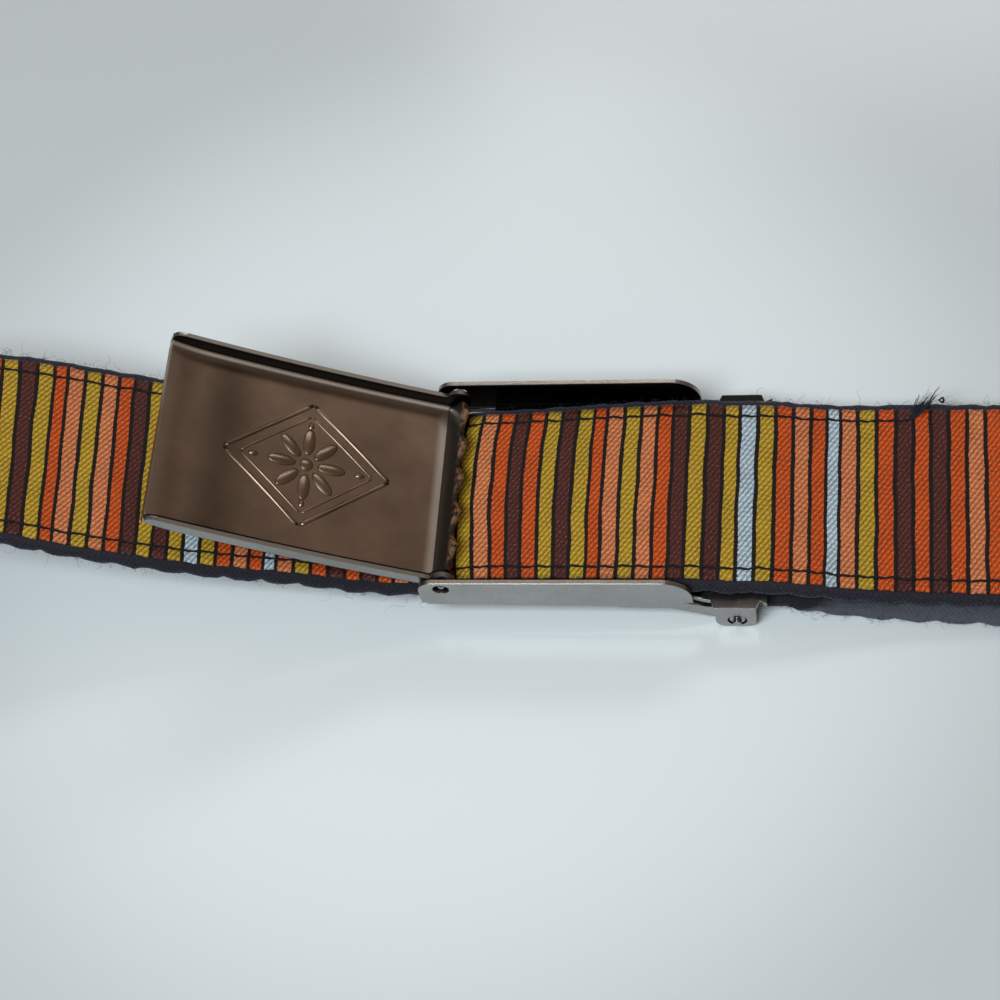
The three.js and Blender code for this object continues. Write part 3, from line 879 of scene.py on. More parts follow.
@dataclass(frozen=True)
class PaleTable:
    """A pale lacquered table top, with a painted falloff of light: darker away from the buckle.

    Args:
        base: its colour under the buckle.
        roughness: how dull its lacquer is.
        fading: how much darker the painted falloff of light makes it away from the buckle.
        middle_x: x of its palest point, the middle of the painted pool of light.
        fading_squares: squares of the distances from there between which it darkens.
    """

    base: Colour = (0.74, 0.80, 0.83)
    roughness: float = 0.18
    fading: float = 0.26
    middle_x: float = 2.0
    fading_squares: tuple[float, float] = (2500.0, 15000.0)

    def material(self) -> bpy.types.Material:
        """Makes the finish: one even lacquer with a very faint unevenness in its gloss, and a painted falloff
        of light away from the buckle.
        """
        graph = Graph("pale_table")
        x, y, _ = graph.place()
        uneven = graph.noise((x, y), (0.02, 0.02))
        # painted falloff of light: the table darkens away from the buckle
        east = x - self.middle_x
        faded = (east * east + y * y).rise(*self.fading_squares)
        return graph.finish(
            Base_Color=graph.shade(self.base, 1.0 - faded * self.fading),
            Roughness=uneven.swing(0.06) + self.roughness,
            Specular_IOR_Level=0.45,
        )


NAVY_COTTON = NavyCotton()
SEWING_THREAD = NavyCotton(name="sewing_thread", base=srgb(20, 18, 22), relief=0.0)
LOOSE_COTTON = NavyCotton(name="loose_cotton", base=srgb(38, 38, 50), relief=0.0)
SATIN_STEEL = FrameMetal(
    "satin_steel", base=srgb(136, 134, 133), bloom=srgb(124, 121, 119), roughness=0.27, grain=0.007
)
GUNMETAL = CoverMetal(
    "gunmetal",
    base=srgb(124, 124, 122),
    bloom=srgb(112, 109, 105),
    roughness=0.33,
    grain=0.009,
    painted_highlight=srgb(150, 143, 136),
)
FOLDED_GUNMETAL = FoldedMetal(
    "folded_gunmetal",
    base=srgb(92, 90, 88),
    bloom=srgb(78, 75, 72),
    roughness=0.36,
    grain=0.009,
    painted_highlight=srgb(205, 178, 148),
)


# Rows of the belt's middle line from its free end on: x, y and z, and the bank in degrees.
FREE_END = (
    (111, 0, -2, 4.2), (100, 0, -2.05, 4.2), (88, 0, -1.5, 3.9), (76, 0, -0.9, 1.5), (68, 0, 0.35, 0),
    (61, 0, 1.5, 0), (54, 0, 1.7, 0), (49, 0, 2.45, 0), (44, 0, 2.45, 0),
)
THROUGH_BUCKLE = (
    (16, 0, 2.45, 0), (10.6, 0, 2.45, 0), (7.4, 0, 1.85, 0), (4.4, 0, 0.8, 0), (1.5, 0, 0.65, 0),
    (-8, 0.2, 0.9, 0.5), (-22, 0.9, 2.4, -1.5), (-40, 1.6, 5.2, 0), (-60, 2.3, 10.6, 1.5),
)
LEFT_TURN = (
    (-80, 2.6, 17.6, -1), (-100, 2, 22.2, -12), (-120, -4, 21.2, -38), (-139, -16, 17, -64),
    (-155, -34, 13.4, -84), (-164, -57, 12.2, -90), (-163, -82, 12.15, -90),
    (-152, -105, 12.15, -90), (-132, -122, 12.15, -90), (-105, -131, 12.15, -90),
)
BACK_RUN = (
    (-70, -135, 12.15, -90), (-25, -137.5, 12.15, -90), (25, -138.5, 12.15, -90),
    (75, -137, 12.15, -90), (118, -132, 12.15, -90),
)
RIGHT_TURN = (
    (150, -120, 12.15, -90), (173, -100, 12.15, -90), (185, -75, 12.15, -90), (186, -50, 12.2, -86),
    (178, -27, 11.5, -70), (162, -10, 7.7, -46), (144, -4.2, 1.9, -23), (128, -2.9, -3.7, -6),
)
FIXED_END = (
    (113, -2.6, -5.9, 0), (96, -2.1, -5.9, 0), (80, -1.1, -5.85, 0), (70, -0.3, -4.9, 0), (62, 0, -3.2, 0),
    (56, 0, -2.5, 0), (50, 0, -2.5, 0), (44, 0, -1.75, 0), (36.5, 0, -1.5, 0),
)


@dataclass(frozen=True)
class Sections:
    """Stations along the belt.

    Args:
        along: length from the free end, mm.
        middle: middle point of the belt's thickness.
        width: direction across, towards the far edge.
        face: direction out of the ribbon's face.
    """

    along: Array
    middle: Array
    width: Array
    face: Array

    def at(self, rows: Array, across: Array, lift: Array) -> Array:
        """Gives the points across and lift away from the middle of the stations in rows."""
        side = self.width[rows] * np.asarray(across)[..., None]
        return self.middle[rows] + side + self.face[rows] * np.asarray(lift)[..., None]

    def sweep(self, across: Array, lift: Array) -> Array:
        """Gives a ring of points at every station, across and lift having one row for each."""
        rows = np.arange(len(self.along))[:, None] * np.ones(across.shape[1], int)
        return self.at(rows, across, lift)


class BeltLine:
    """The belt's middle line: a centripetal Catmull-Rom curve through the rows above."""

    SAMPLES = 40

    def __init__(self) -> None:
        """Works the curve out at many places along every span."""
        rows = np.array(FREE_END + THROUGH_BUCKLE + LEFT_TURN + BACK_RUN + RIGHT_TURN + FIXED_END, float)
        self.points, self.banks = rows[:, :3], rows[:, 3]
        places = np.arange((len(rows) - 1) * self.SAMPLES + 1) / self.SAMPLES
        self.curve = self.spline(places)
        self.bank = self.bank_at(places)
        steps = np.linalg.norm(np.diff(self.curve, axis=0), axis=1)
        self.length = np.concatenate([[0.0], np.cumsum(steps)])

    def spline(self, places: Array) -> Array:
        """Reads the curve: cubic Hermite spans whose end tangents allow for the spacing of the rows.

        Args:
            places: row numbers with a fraction.

        Returns:
            A point for each place.
        """
        first = 2 * self.points[0] - self.points[1]
        last = 2 * self.points[-1] - self.points[-2]
        padded = np.vstack([first, self.points, last])
        gaps = np.linalg.norm(np.diff(padded, axis=0), axis=1)[:, None] ** 0.5
        span = np.minimum(places.astype(int), len(self.points) - 2)
        t = (places - span)[:, None]
        p0, p1, p2, p3 = (padded[span + k] for k in range(4))
        d0, d1, d2 = (gaps[span + k] for k in range(3))
        start = ((p1 - p0) / d0 - (p2 - p0) / (d0 + d1) + (p2 - p1) / d1) * d1
        end = ((p2 - p1) / d1 - (p3 - p1) / (d1 + d2) + (p3 - p2) / d2) * d1
        square = -3 * p1 + 3 * p2 - 2 * start - end
        cube = 2 * p1 - 2 * p2 + start + end
        return p1 + start * t + square * t**2 + cube * t**3

    def bank_at(self, places: Array) -> Array:
        """Reads the bank in degrees: a uniform Catmull-Rom curve through the rows' banks."""
        last = len(self.banks) - 1
        span = np.minimum(places.astype(int), last - 1)
        t = places - span
        p0, p1, p2, p3 = (self.banks[np.clip(span + k, 0, last)] for k in (-1, 0, 1, 2))
        start, end = (p2 - p0) / 2, (p3 - p1) / 2
        cube = 2 * p1 - 2 * p2 + start + end
        square = -3 * p1 + 3 * p2 - 2 * start - end
        return cube * t**3 + square * t**2 + start * t + p1

    def front(self, x: Array) -> Array:
        """Gives the length from the free end at which the upper layer of the front reaches x."""
        upper = int(np.argmin(self.curve[: len(self.curve) // 2, 0]))
        return np.interp(-np.asarray(x, float), -self.curve[:upper, 0], self.length[:upper])

    def sections(self, spacing: float, start: float = 0.0, end: float | None = None) -> Sections:
        """Places stations evenly along the belt.

        Args:
            spacing: about how far apart, mm.
            start: length from the free end at which they start.
            end: length at which they end, or None for the belt's end.

        Returns:
            The stations, each square to the curve and turned by the bank.
        """
        end = self.length[-1] if end is None else end
        along = np.linspace(start, end, max(2, round((end - start) / spacing) + 1))

        def read(table: Array) -> Array:
            """Reads a table of the curve's samples at the stations."""
            return np.stack([np.interp(along, self.length, table[:, i]) for i in range(3)], -1)

        tangent = unit(read(np.gradient(self.curve, axis=0)))
        level = unit(np.cross(tangent, [0.0, 0.0, 1.0]))
        bank = np.radians(-np.interp(along, self.length, self.bank))[:, None]
        width = level * np.cos(bank) + np.cross(tangent, level) * np.sin(bank)
        return Sections(along, read(self.curve), width, unit(np.cross(width, tangent)))


@dataclass(frozen=True)
class MouthBend:
    """How the stripes' ends bend onward in the buckle's mouth, on one side of the belt.

    Args:
        side: 1 for the far side, -1 for the near.
        start: from how far off the belt's middle they bend.
        width: over what width the bend grows.
        power: how suddenly it grows.
        amount: how far the ends are bent.
        reach: how far along the belt the bend is felt.
    """

    side: int
    start: float
    width: float
    power: float
    amount: float
    reach: float

    def at(self, across: Array, onward: Array) -> Array:
        """Gives the bend: a power of the share across, fading as a bell curve along."""
        share = np.clip((self.side * across - self.start) / self.width, 0, 1)
        return self.amount * share**self.power * np.exp(-((onward / self.reach) ** 2))


FAR_BEND = MouthBend(side=1, start=5.0, width=12.0, power=2, amount=0.8, reach=26.0)
NEAR_BEND = MouthBend(side=-1, start=1.0, width=16.0, power=1.2, amount=1.3, reach=22.0)


@dataclass
class WebBelt:
    """The webbing, its ribbon, the stitches and the loose cotton.

    Args:
        line: the belt's middle line.
        half_width: of the webbing.
        half_thickness: of webbing and ribbon together.
        selvedge: how far in the selvedges' rounding starts.
        webbing_step: from one section of the webbing to the next.
        ribbon_far: the ribbon's far edge from the middle.
        ribbon_near: the ribbon's near edge.
        ribbon_thickness: of the ribbon as it is seen.
        ribbon_step: from one section of the ribbon to the next.
        hem_width: over what width the ribbon's edges turn down.
        hem_drop: how far they turn down.
        first_stripe_x: where the chart of stripes starts on the front.
        stitch_far: the far row of stitches.
        stitch_near: the near row of stitches.
        stitch_length: from one needle hole to the next.
        thread_radius: of the sewing thread.
        thread_sink: how deep the thread dips at a hole.
        dent_depth: how deep the sewing pulls the ribbon down at a hole.
        dent_width: half of the trough's width.
        scallop: from one bulge of the selvedge to the next.
        tuft_x: where the far row's thread has come loose.
        mouth_x: where the far edge is pushed in most.
        squeeze: how far it is pushed in there.
        squeeze_reach: how far that is felt, away from the free end and towards it.
        stripe_stretch: width of the stripes against the chart, left of its start and right of it.
        left_skew: how far the stripes left of the buckle lean back from square, mm in each mm.
        left_skew_rise: how far left of the chart's start the lean begins, and over what length.
        left_skew_fall: how far left it has ended, and over what length.
        widening: how much wider the stripes are in a part left of the buckle.
        widened: where left of the chart's start that part begins, and its length.
        tucked: how much further in the ribbon's near edge lies on the under layer.
        tucked_run: from where to the belt's fixed end that holds, and over what length it begins.
        fibre_count: number of loose fibres.
        fibre_steps: points along each.
        strand_count: number of threads in the tuft.
        coil_count: number of curled threads in it.
        strand_steps: points along each.
    """

    line: BeltLine
    half_width: float = 19.35
    half_thickness: float = 1.15
    selvedge: float = 1.05
    webbing_step: float = 1.15
    ribbon_far: float = 18.0
    ribbon_near: float = -17.6
    ribbon_thickness: float = 0.34
    ribbon_step: float = 0.72
    hem_width: float = 0.9
    hem_drop: float = 0.22
    first_stripe_x: float = 5.2
    stitch_far: float = 15.65
    stitch_near: float = -15.3
    stitch_length: float = 2.95
    thread_radius: float = 0.25
    thread_sink: float = 0.32
    dent_depth: float = 0.17
    dent_width: float = 0.55
    scallop: float = 6.7
    tuft_x: float = 85.5
    mouth_x: float = 8.0
    squeeze: float = 2.0
    squeeze_reach: tuple[float, float] = (5.0, 24.0)
    stripe_stretch: tuple[float, float] = (0.966, 1.011)
    left_skew: float = 0.088
    left_skew_rise: tuple[float, float] = (6.0, 14.0)
    left_skew_fall: tuple[float, float] = (200.0, 80.0)
    widening: float = 0.05
    widened: tuple[float, float] = (58.0, 40.0)
    tucked: float = 1.7
    tucked_run: tuple[float, float] = (125.0, 30.0)
    fibre_count: int = 3600
    fibre_steps: int = 9
    strand_count: int = 110
    coil_count: int = 14
    strand_steps: int = 12

    def pushed_in(self, along: Array, across: Array) -> Array:
        """Narrows the far half in the buckle's mouth: most at mouth_x, faded out by the tail."""
        away = along - float(self.line.front(self.mouth_x))
        fade = np.exp(-((away / np.where(away > 0, *self.squeeze_reach)) ** 2))
        return across - self.squeeze * fade * np.clip(across / self.half_width, 0, 1) ** 1.5

    def dent(self, along: Array, across: Array) -> Array:
        """How far the sewing pulls the ribbon down: a trough at each row, deepest at the holes."""
        hole = 0.55 + 0.45 * np.cos(2 * math.pi * along / self.stitch_length)
        total = 0.0
        for row in (self.stitch_far, self.stitch_near):
            trough = np.exp(-(((across - row) / self.dent_width) ** 2))
            total = total + self.dent_depth * hole * trough
        return total

    def hem(self, across: Array) -> Array:
        """Rises from 0 to 1 over the last hem_width before either edge of the ribbon."""
        inset = np.minimum(self.ribbon_far - across, across - self.ribbon_near)
        return np.clip(1 - inset / self.hem_width, 0, 1)

    def ribbon_top(self, along: Array, across: Array) -> Array:
        """Height of the ribbon's face above the middle: flat, less the sewing's dents and ripples."""
        swell = 0.05 * ripple(along + 0.4 * across, 11, 9.0) * np.cos(across * 0.12)
        edge = self.hem(across) ** 2 * self.hem_drop
        return self.half_thickness - self.dent(along, across) + swell - 0.03 - edge

    @staticmethod
    def swept(stations: Sections, points: Array, girth: Array) -> Skin:
        """Closes a ring of points at every station into a skin with cloth coordinates.

        Args:
            stations: the sections.
            points: one ring for each: (stations, points, 3).
            girth: way round the ring at each of its points, and at the first one again.

        Returns:
            The closed skin.
        """
        skin = ringed(points)
        _, row, column = lattice(*points.shape[:2], True)
        skin.quad_uv = np.stack([stations.along[row], girth[column]], -1) * MILLIMETRE
        return skin

    def webbing(self) -> bpy.types.Object:
        """Sweeps the webbing: a flat section with rope-like selvedges that bulge at every yarn."""
        stations = self.line.sections(self.webbing_step)
        top = self.half_thickness - self.ribbon_thickness - 0.06
        bottom = -self.half_thickness
        bulge, middle = (top - bottom) / 2, (top + bottom) / 2
        flat = self.half_width - self.selvedge
        turn = np.linspace(math.pi / 2, -math.pi / 2, 9)
        face_columns = np.linspace(-flat, flat, 27)
        across = np.concatenate([
            face_columns[:-1],
            flat + self.selvedge * np.cos(turn),
            face_columns[::-1][1:-1],
            -flat - self.selvedge * np.cos(turn),
        ])
        lift = np.concatenate([
            np.full(len(face_columns) - 1, top),
            middle + bulge * np.sin(turn),
            np.full(len(face_columns) - 2, bottom),
            middle - bulge * np.sin(turn),
        ])
        outline = np.stack([across, lift], 1)
        sides = np.linalg.norm(np.roll(outline, -1, axis=0) - outline, axis=1)
        along = stations.along[:, None]
        out = np.clip((np.abs(across) - self.half_width + 2.0) / 2.0, 0, 1)
        yarn = np.abs(np.sin(math.pi * along / self.scallop + np.where(across > 0, 0.9, 0.2))) ** 0.7 - 0.6
        rough = ripple(along + across, 5, 2.6)
        shift = np.sign(across) * out * (np.where(across > 0, 0.3, 0.62) * yarn + 0.10 * rough)
        below = (lift < middle) * (1 - out)
        high = lift + out * 0.10 * ripple(along, 8, 3.4) * np.sign(lift - middle)
        high = high + below * 0.07 * (1 + ripple(along, 3, 3.1) * np.cos(across * 1.7))
        points = stations.sweep(self.pushed_in(along, across + shift), np.maximum(high, bottom))
        girth = np.concatenate([[0.0], np.cumsum(sides)])
        skin = self.swept(stations, self.above_table(points, 0.0), girth)
        return skin.build("belt_webbing", NAVY_COTTON.material())

    def stripe_number(self, along: Array, across: Array) -> Array:
        """Counts the stripes from the chart's start, towards the free end, with a fraction.

        Left of the buckle they lean back by left_skew. In its mouth their ends bend onward.

        Args:
            along: length from the free end.
            across: place across the belt.

        Returns:
            The stripe's number at each place.
        """
        edges = np.concatenate([[0.0], np.cumsum([width for _, width in STRIPES])])
        onward = float(self.line.front(self.first_stripe_x)) - along
        begin, length = self.widened
        onward = onward + self.widening * np.clip(-onward - begin, 0, length)
        (begin, rise), (end, fall) = self.left_skew_rise, self.left_skew_fall
        lean = self.left_skew * across
        lean = lean * np.clip(-(onward + begin) / rise, 0, 1) * np.clip((onward + end) / fall, 0, 1)
        bend = FAR_BEND.at(across, onward) + NEAR_BEND.at(across, onward)
        onward = (onward + lean - bend) / np.where(onward < 0, *self.stripe_stretch)
        repeats = np.floor(onward / edges[-1])
        number = np.interp(onward - repeats * edges[-1], edges, np.arange(len(edges)))
        return repeats * len(STRIPES) + number

    def ribbon(self) -> bpy.types.Object:
        """Sweeps the ribbon: a thin band with its edges turned down on the webbing."""
        stations = self.line.sections(self.ribbon_step)
        columns = np.unique(np.concatenate([
            np.linspace(self.ribbon_near, self.ribbon_far, 19),
            self.stitch_far + np.linspace(-0.9, 1.2, 9),
            self.stitch_near + np.linspace(-1.9, 0.9, 10),
        ]))
        along = stations.along[:, None]
        floor = self.half_thickness - self.ribbon_thickness - 0.03
        edge = 0.13 * ripple(along, 21, 4.2)
        run, begin = self.tucked_run
        layer = np.clip((along - self.line.length[-1] + run) / begin, 0, 1)
        tuck = self.tucked * layer * np.clip(columns / self.ribbon_near, 0, 1) ** 3
        shift = self.pushed_in(along, columns + self.hem(columns) * np.sign(columns) * edge + tuck)
        top = np.maximum(self.ribbon_top(along, columns[None]), floor + 0.05)
        across = np.concatenate([shift, shift[:, -1:], shift[:, :1]], 1)
        lift = np.concatenate([top, np.full((len(along), 2), floor)], 1)
        laid = np.concatenate([columns, columns[-1:], columns[:1]])
        skin = self.swept(stations, stations.sweep(across, lift), np.append(across[0], across[0, 0]))
        skin.values["stripe"] = self.stripe_number(along, laid[None])
        return skin.build("belt_ribbon", StripedTwill().material())

    def stitches(self) -> bpy.types.Object:
        """Lays both rows of thread: on the ribbon between the holes, and under it at each hole."""
        end = self.line.length[-1] - 1
        far = self.thread(self.stitch_far, float(self.line.front(self.tuft_x)), end, 31)
        near = self.thread(self.stitch_near, 1.0, end, 32)
        return far.joined(near).build("sewing", SEWING_THREAD.material())

    def thread(self, across: float, start: float, end: float, seed: int) -> Skin:
        """Carries one row's thread along: lift rises and falls as a half sine for each stitch.

        Args:
            across: where the row runs.
            start: length from the free end at which it starts.
            end: length at which it ends.
            seed: picks its unevenness.

        Returns:
            The thread as a skin.
        """
        stations = self.line.sections(self.stitch_length / 7, start, end)
        along = stations.along
        side = across + 0.13 * ripple(along, seed, 5.6)
        arch = np.abs(np.sin(math.pi * along / self.stitch_length)) ** 0.45
        lift = self.ribbon_top(along, side) + self.thread_radius * 0.35 - self.thread_sink * (1 - arch)
        path = stations.at(np.arange(len(along)), self.pushed_in(along, side), lift)
        return tubes(path[None], np.full((1, len(along)), self.thread_radius), 6)

    def fibres(self) -> bpy.types.Object:
        """Scatters loose curly fibres along both selvedges.

        A fibre lies mostly along the edge: it is a running sum of steps whose heading, between
        outwards and along the belt, turns evenly and swings to both sides.
        """
        draw = np.random.default_rng(77)
        count, steps = self.fibre_count, self.fibre_steps
        stations = self.line.sections(0.5)
        rows = draw.integers(0, len(stations.along), count)
        side = np.where(draw.random(count) < 0.6, 1.0, -1.0)
        lift = draw.uniform(-0.9, 0.65, count)
        across = self.pushed_in(stations.along[rows], side * (self.half_width - 0.15))
        root = stations.at(rows, across, lift)
        tangent = unit(np.cross(stations.face[rows], stations.width[rows]))
        outward = stations.width[rows] * side[:, None]
        t = np.linspace(0, 1, steps)[None]
        first = draw.choice([-1.0, 1.0], count) * draw.uniform(0.3, 1.5, count)
        turn = first[:, None] + draw.normal(0.0, 2.6, (count, 1)) * t
        turn = turn + 0.9 * np.sin(draw.uniform(3, 8, (count, 1)) * t + draw.uniform(0, 6, (count, 1)))
        heading = outward[:, None] * np.cos(turn)[..., None] + tangent[:, None] * np.sin(turn)[..., None]
        rise = draw.normal(0.05, 0.35, (count, 1, 1)) * stations.face[rows][:, None]
        reach = draw.gamma(2.4, 0.55, count) + 0.5
        path = root[:, None] + np.cumsum(heading + rise, axis=1) * (reach / steps)[:, None, None]
        thick = draw.uniform(0.018, 0.040, count)[:, None] * np.linspace(1, 0.45, steps)[None]
        skin = tubes(self.above_table(path, 0.06), thick, 3)
        return skin.build("loose_fibres", LOOSE_COTTON.material())

    @staticmethod
    def above_table(path: Array, margin: float) -> Array:
        """Keeps points margin above the table."""
        return np.concatenate([path[..., :2], np.maximum(path[..., 2:], AXES.table() + margin)], -1)

    def tuft(self) -> bpy.types.Object:
        """Stands a loose end of thread up at the far edge: a few thick strands and thinner hairs."""
        draw = np.random.default_rng(5)
        stations = self.line.sections(0.5)
        row = np.argmin(np.abs(stations.along - self.line.front(self.tuft_x)), keepdims=True)
        foot = np.array([[self.stitch_far], [self.half_thickness - 0.2]])
        root = stations.at(row, *foot)[0]
        count, steps = self.strand_count, self.strand_steps
        t = np.linspace(0, 1, steps)[None, :, None]
        spread = draw.normal(0, 1, (count, 1, 3)) * np.array([1.0, 0.75, 0.4])
        target = np.array([4.2, 5.2, 1.3]) + spread
        reach = draw.uniform(0.35, 1.0, (count, 1, 1))
        bow = np.array([0.9, -1.4, 1.2]) * draw.normal(0.5, 0.4, (count, 1, 1))
        wave = draw.normal(0, 0.16, (count, 1, 3)) * np.sin(t * draw.uniform(3, 9, (count, 1, 1)))
        path = root + target * reach * t + bow * reach * np.sin(math.pi * t) * 0.5 + wave
        coils = self.coil_count
        turn = t * draw.uniform(5, 9, (coils, 1, 1)) + draw.uniform(0, 6, (coils, 1, 1))
        loop = np.concatenate([np.cos(turn), np.sin(turn), 0.6 * np.sin(2 * turn)], -1)
        knot = root + np.array([5.9, 4.1, 0.2]) + loop * draw.uniform(0.25, 0.6, (coils, 1, 1))
        width = np.where(np.arange(count + coils) % 7 == 0, 0.15, 0.045)[:, None]
        thick = width * np.linspace(1, 0.35, steps)[None]
        skin = tubes(self.above_table(np.concatenate([path, knot]), 0.2), thick, 5)
        return skin.build("thread_tuft", LOOSE_COTTON.material())

    def dress(self) -> None:
        """Builds every cloth piece and says what it replaces and rides on."""
        webbing, ribbon = self.webbing(), self.ribbon()
        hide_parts("webbing")
        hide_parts("ribbon")
        extras = [self.stitches(), self.fibres(), self.tuft()]
        for piece in (webbing, ribbon, *extras):
            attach(piece, Body.ROOT.value)
            report(piece)


def report(piece: bpy.types.Object) -> None:
    """Logs a piece's name and size."""
    LOG.info("%s: %d points, %d faces", piece.name, len(piece.data.vertices), len(piece.data.polygons))


@dataclass
class BuckleHardware:
    """The frame, the tail clamp and its pin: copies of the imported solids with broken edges.

    Args:
        pieces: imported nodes, each with its new piece's name and its edges' radius, mm.
        merging: how close together points are merged, mm.
        flat: by how many degrees faces may differ and still be made one.
        sharp: from how many degrees on an edge is broken.
    """

    pieces: tuple[tuple[str, str, float], ...] = (
        ("buckle_frame", "frame_sheet", 0.16),
        ("tail_clamp", "clamp_sheet", 0.12),
        ("tail_pin", "pin_rod", 0.1),
    )
    merging: float = 0.002
    flat: float = 0.6
    sharp: float = 32.0

    def copy(self, node: str, name: str, edge: float) -> bpy.types.Object:
        """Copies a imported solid, merges its flat faces and breaks its edges.

        Args:
            node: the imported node.
            name: the new piece's name.
            edge: radius of its broken edges, mm.

        Returns:
            The new piece, which replaces the node.
        """
        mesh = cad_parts[node].data.copy()
        mesh.name = name
        mesh.materials.clear()
        mesh.materials.append(SATIN_STEEL.material())
        work = bmesh.new()
        work.from_mesh(mesh)
        bmesh.ops.remove_doubles(work, verts=work.verts, dist=self.merging * MILLIMETRE)
        bmesh.ops.dissolve_limit(
            work,
            angle_limit=math.radians(self.flat),
            verts=work.verts,
            edges=work.edges,
            use_dissolve_boundaries=False,
        )
        for face in work.faces:
            face.smooth = True
        work.to_mesh(mesh)
        work.free()
        piece = linked(name, mesh)
        break_edges(piece, edge, self.sharp, 3).miter_outer = "MITER_ARC"
        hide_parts(node)
        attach(piece, Body.ROOT.value)
        return piece

    def dress(self) -> None:
        """Makes the three pieces."""
        for node, name, edge in self.pieces:
            report(self.copy(node, name, edge))


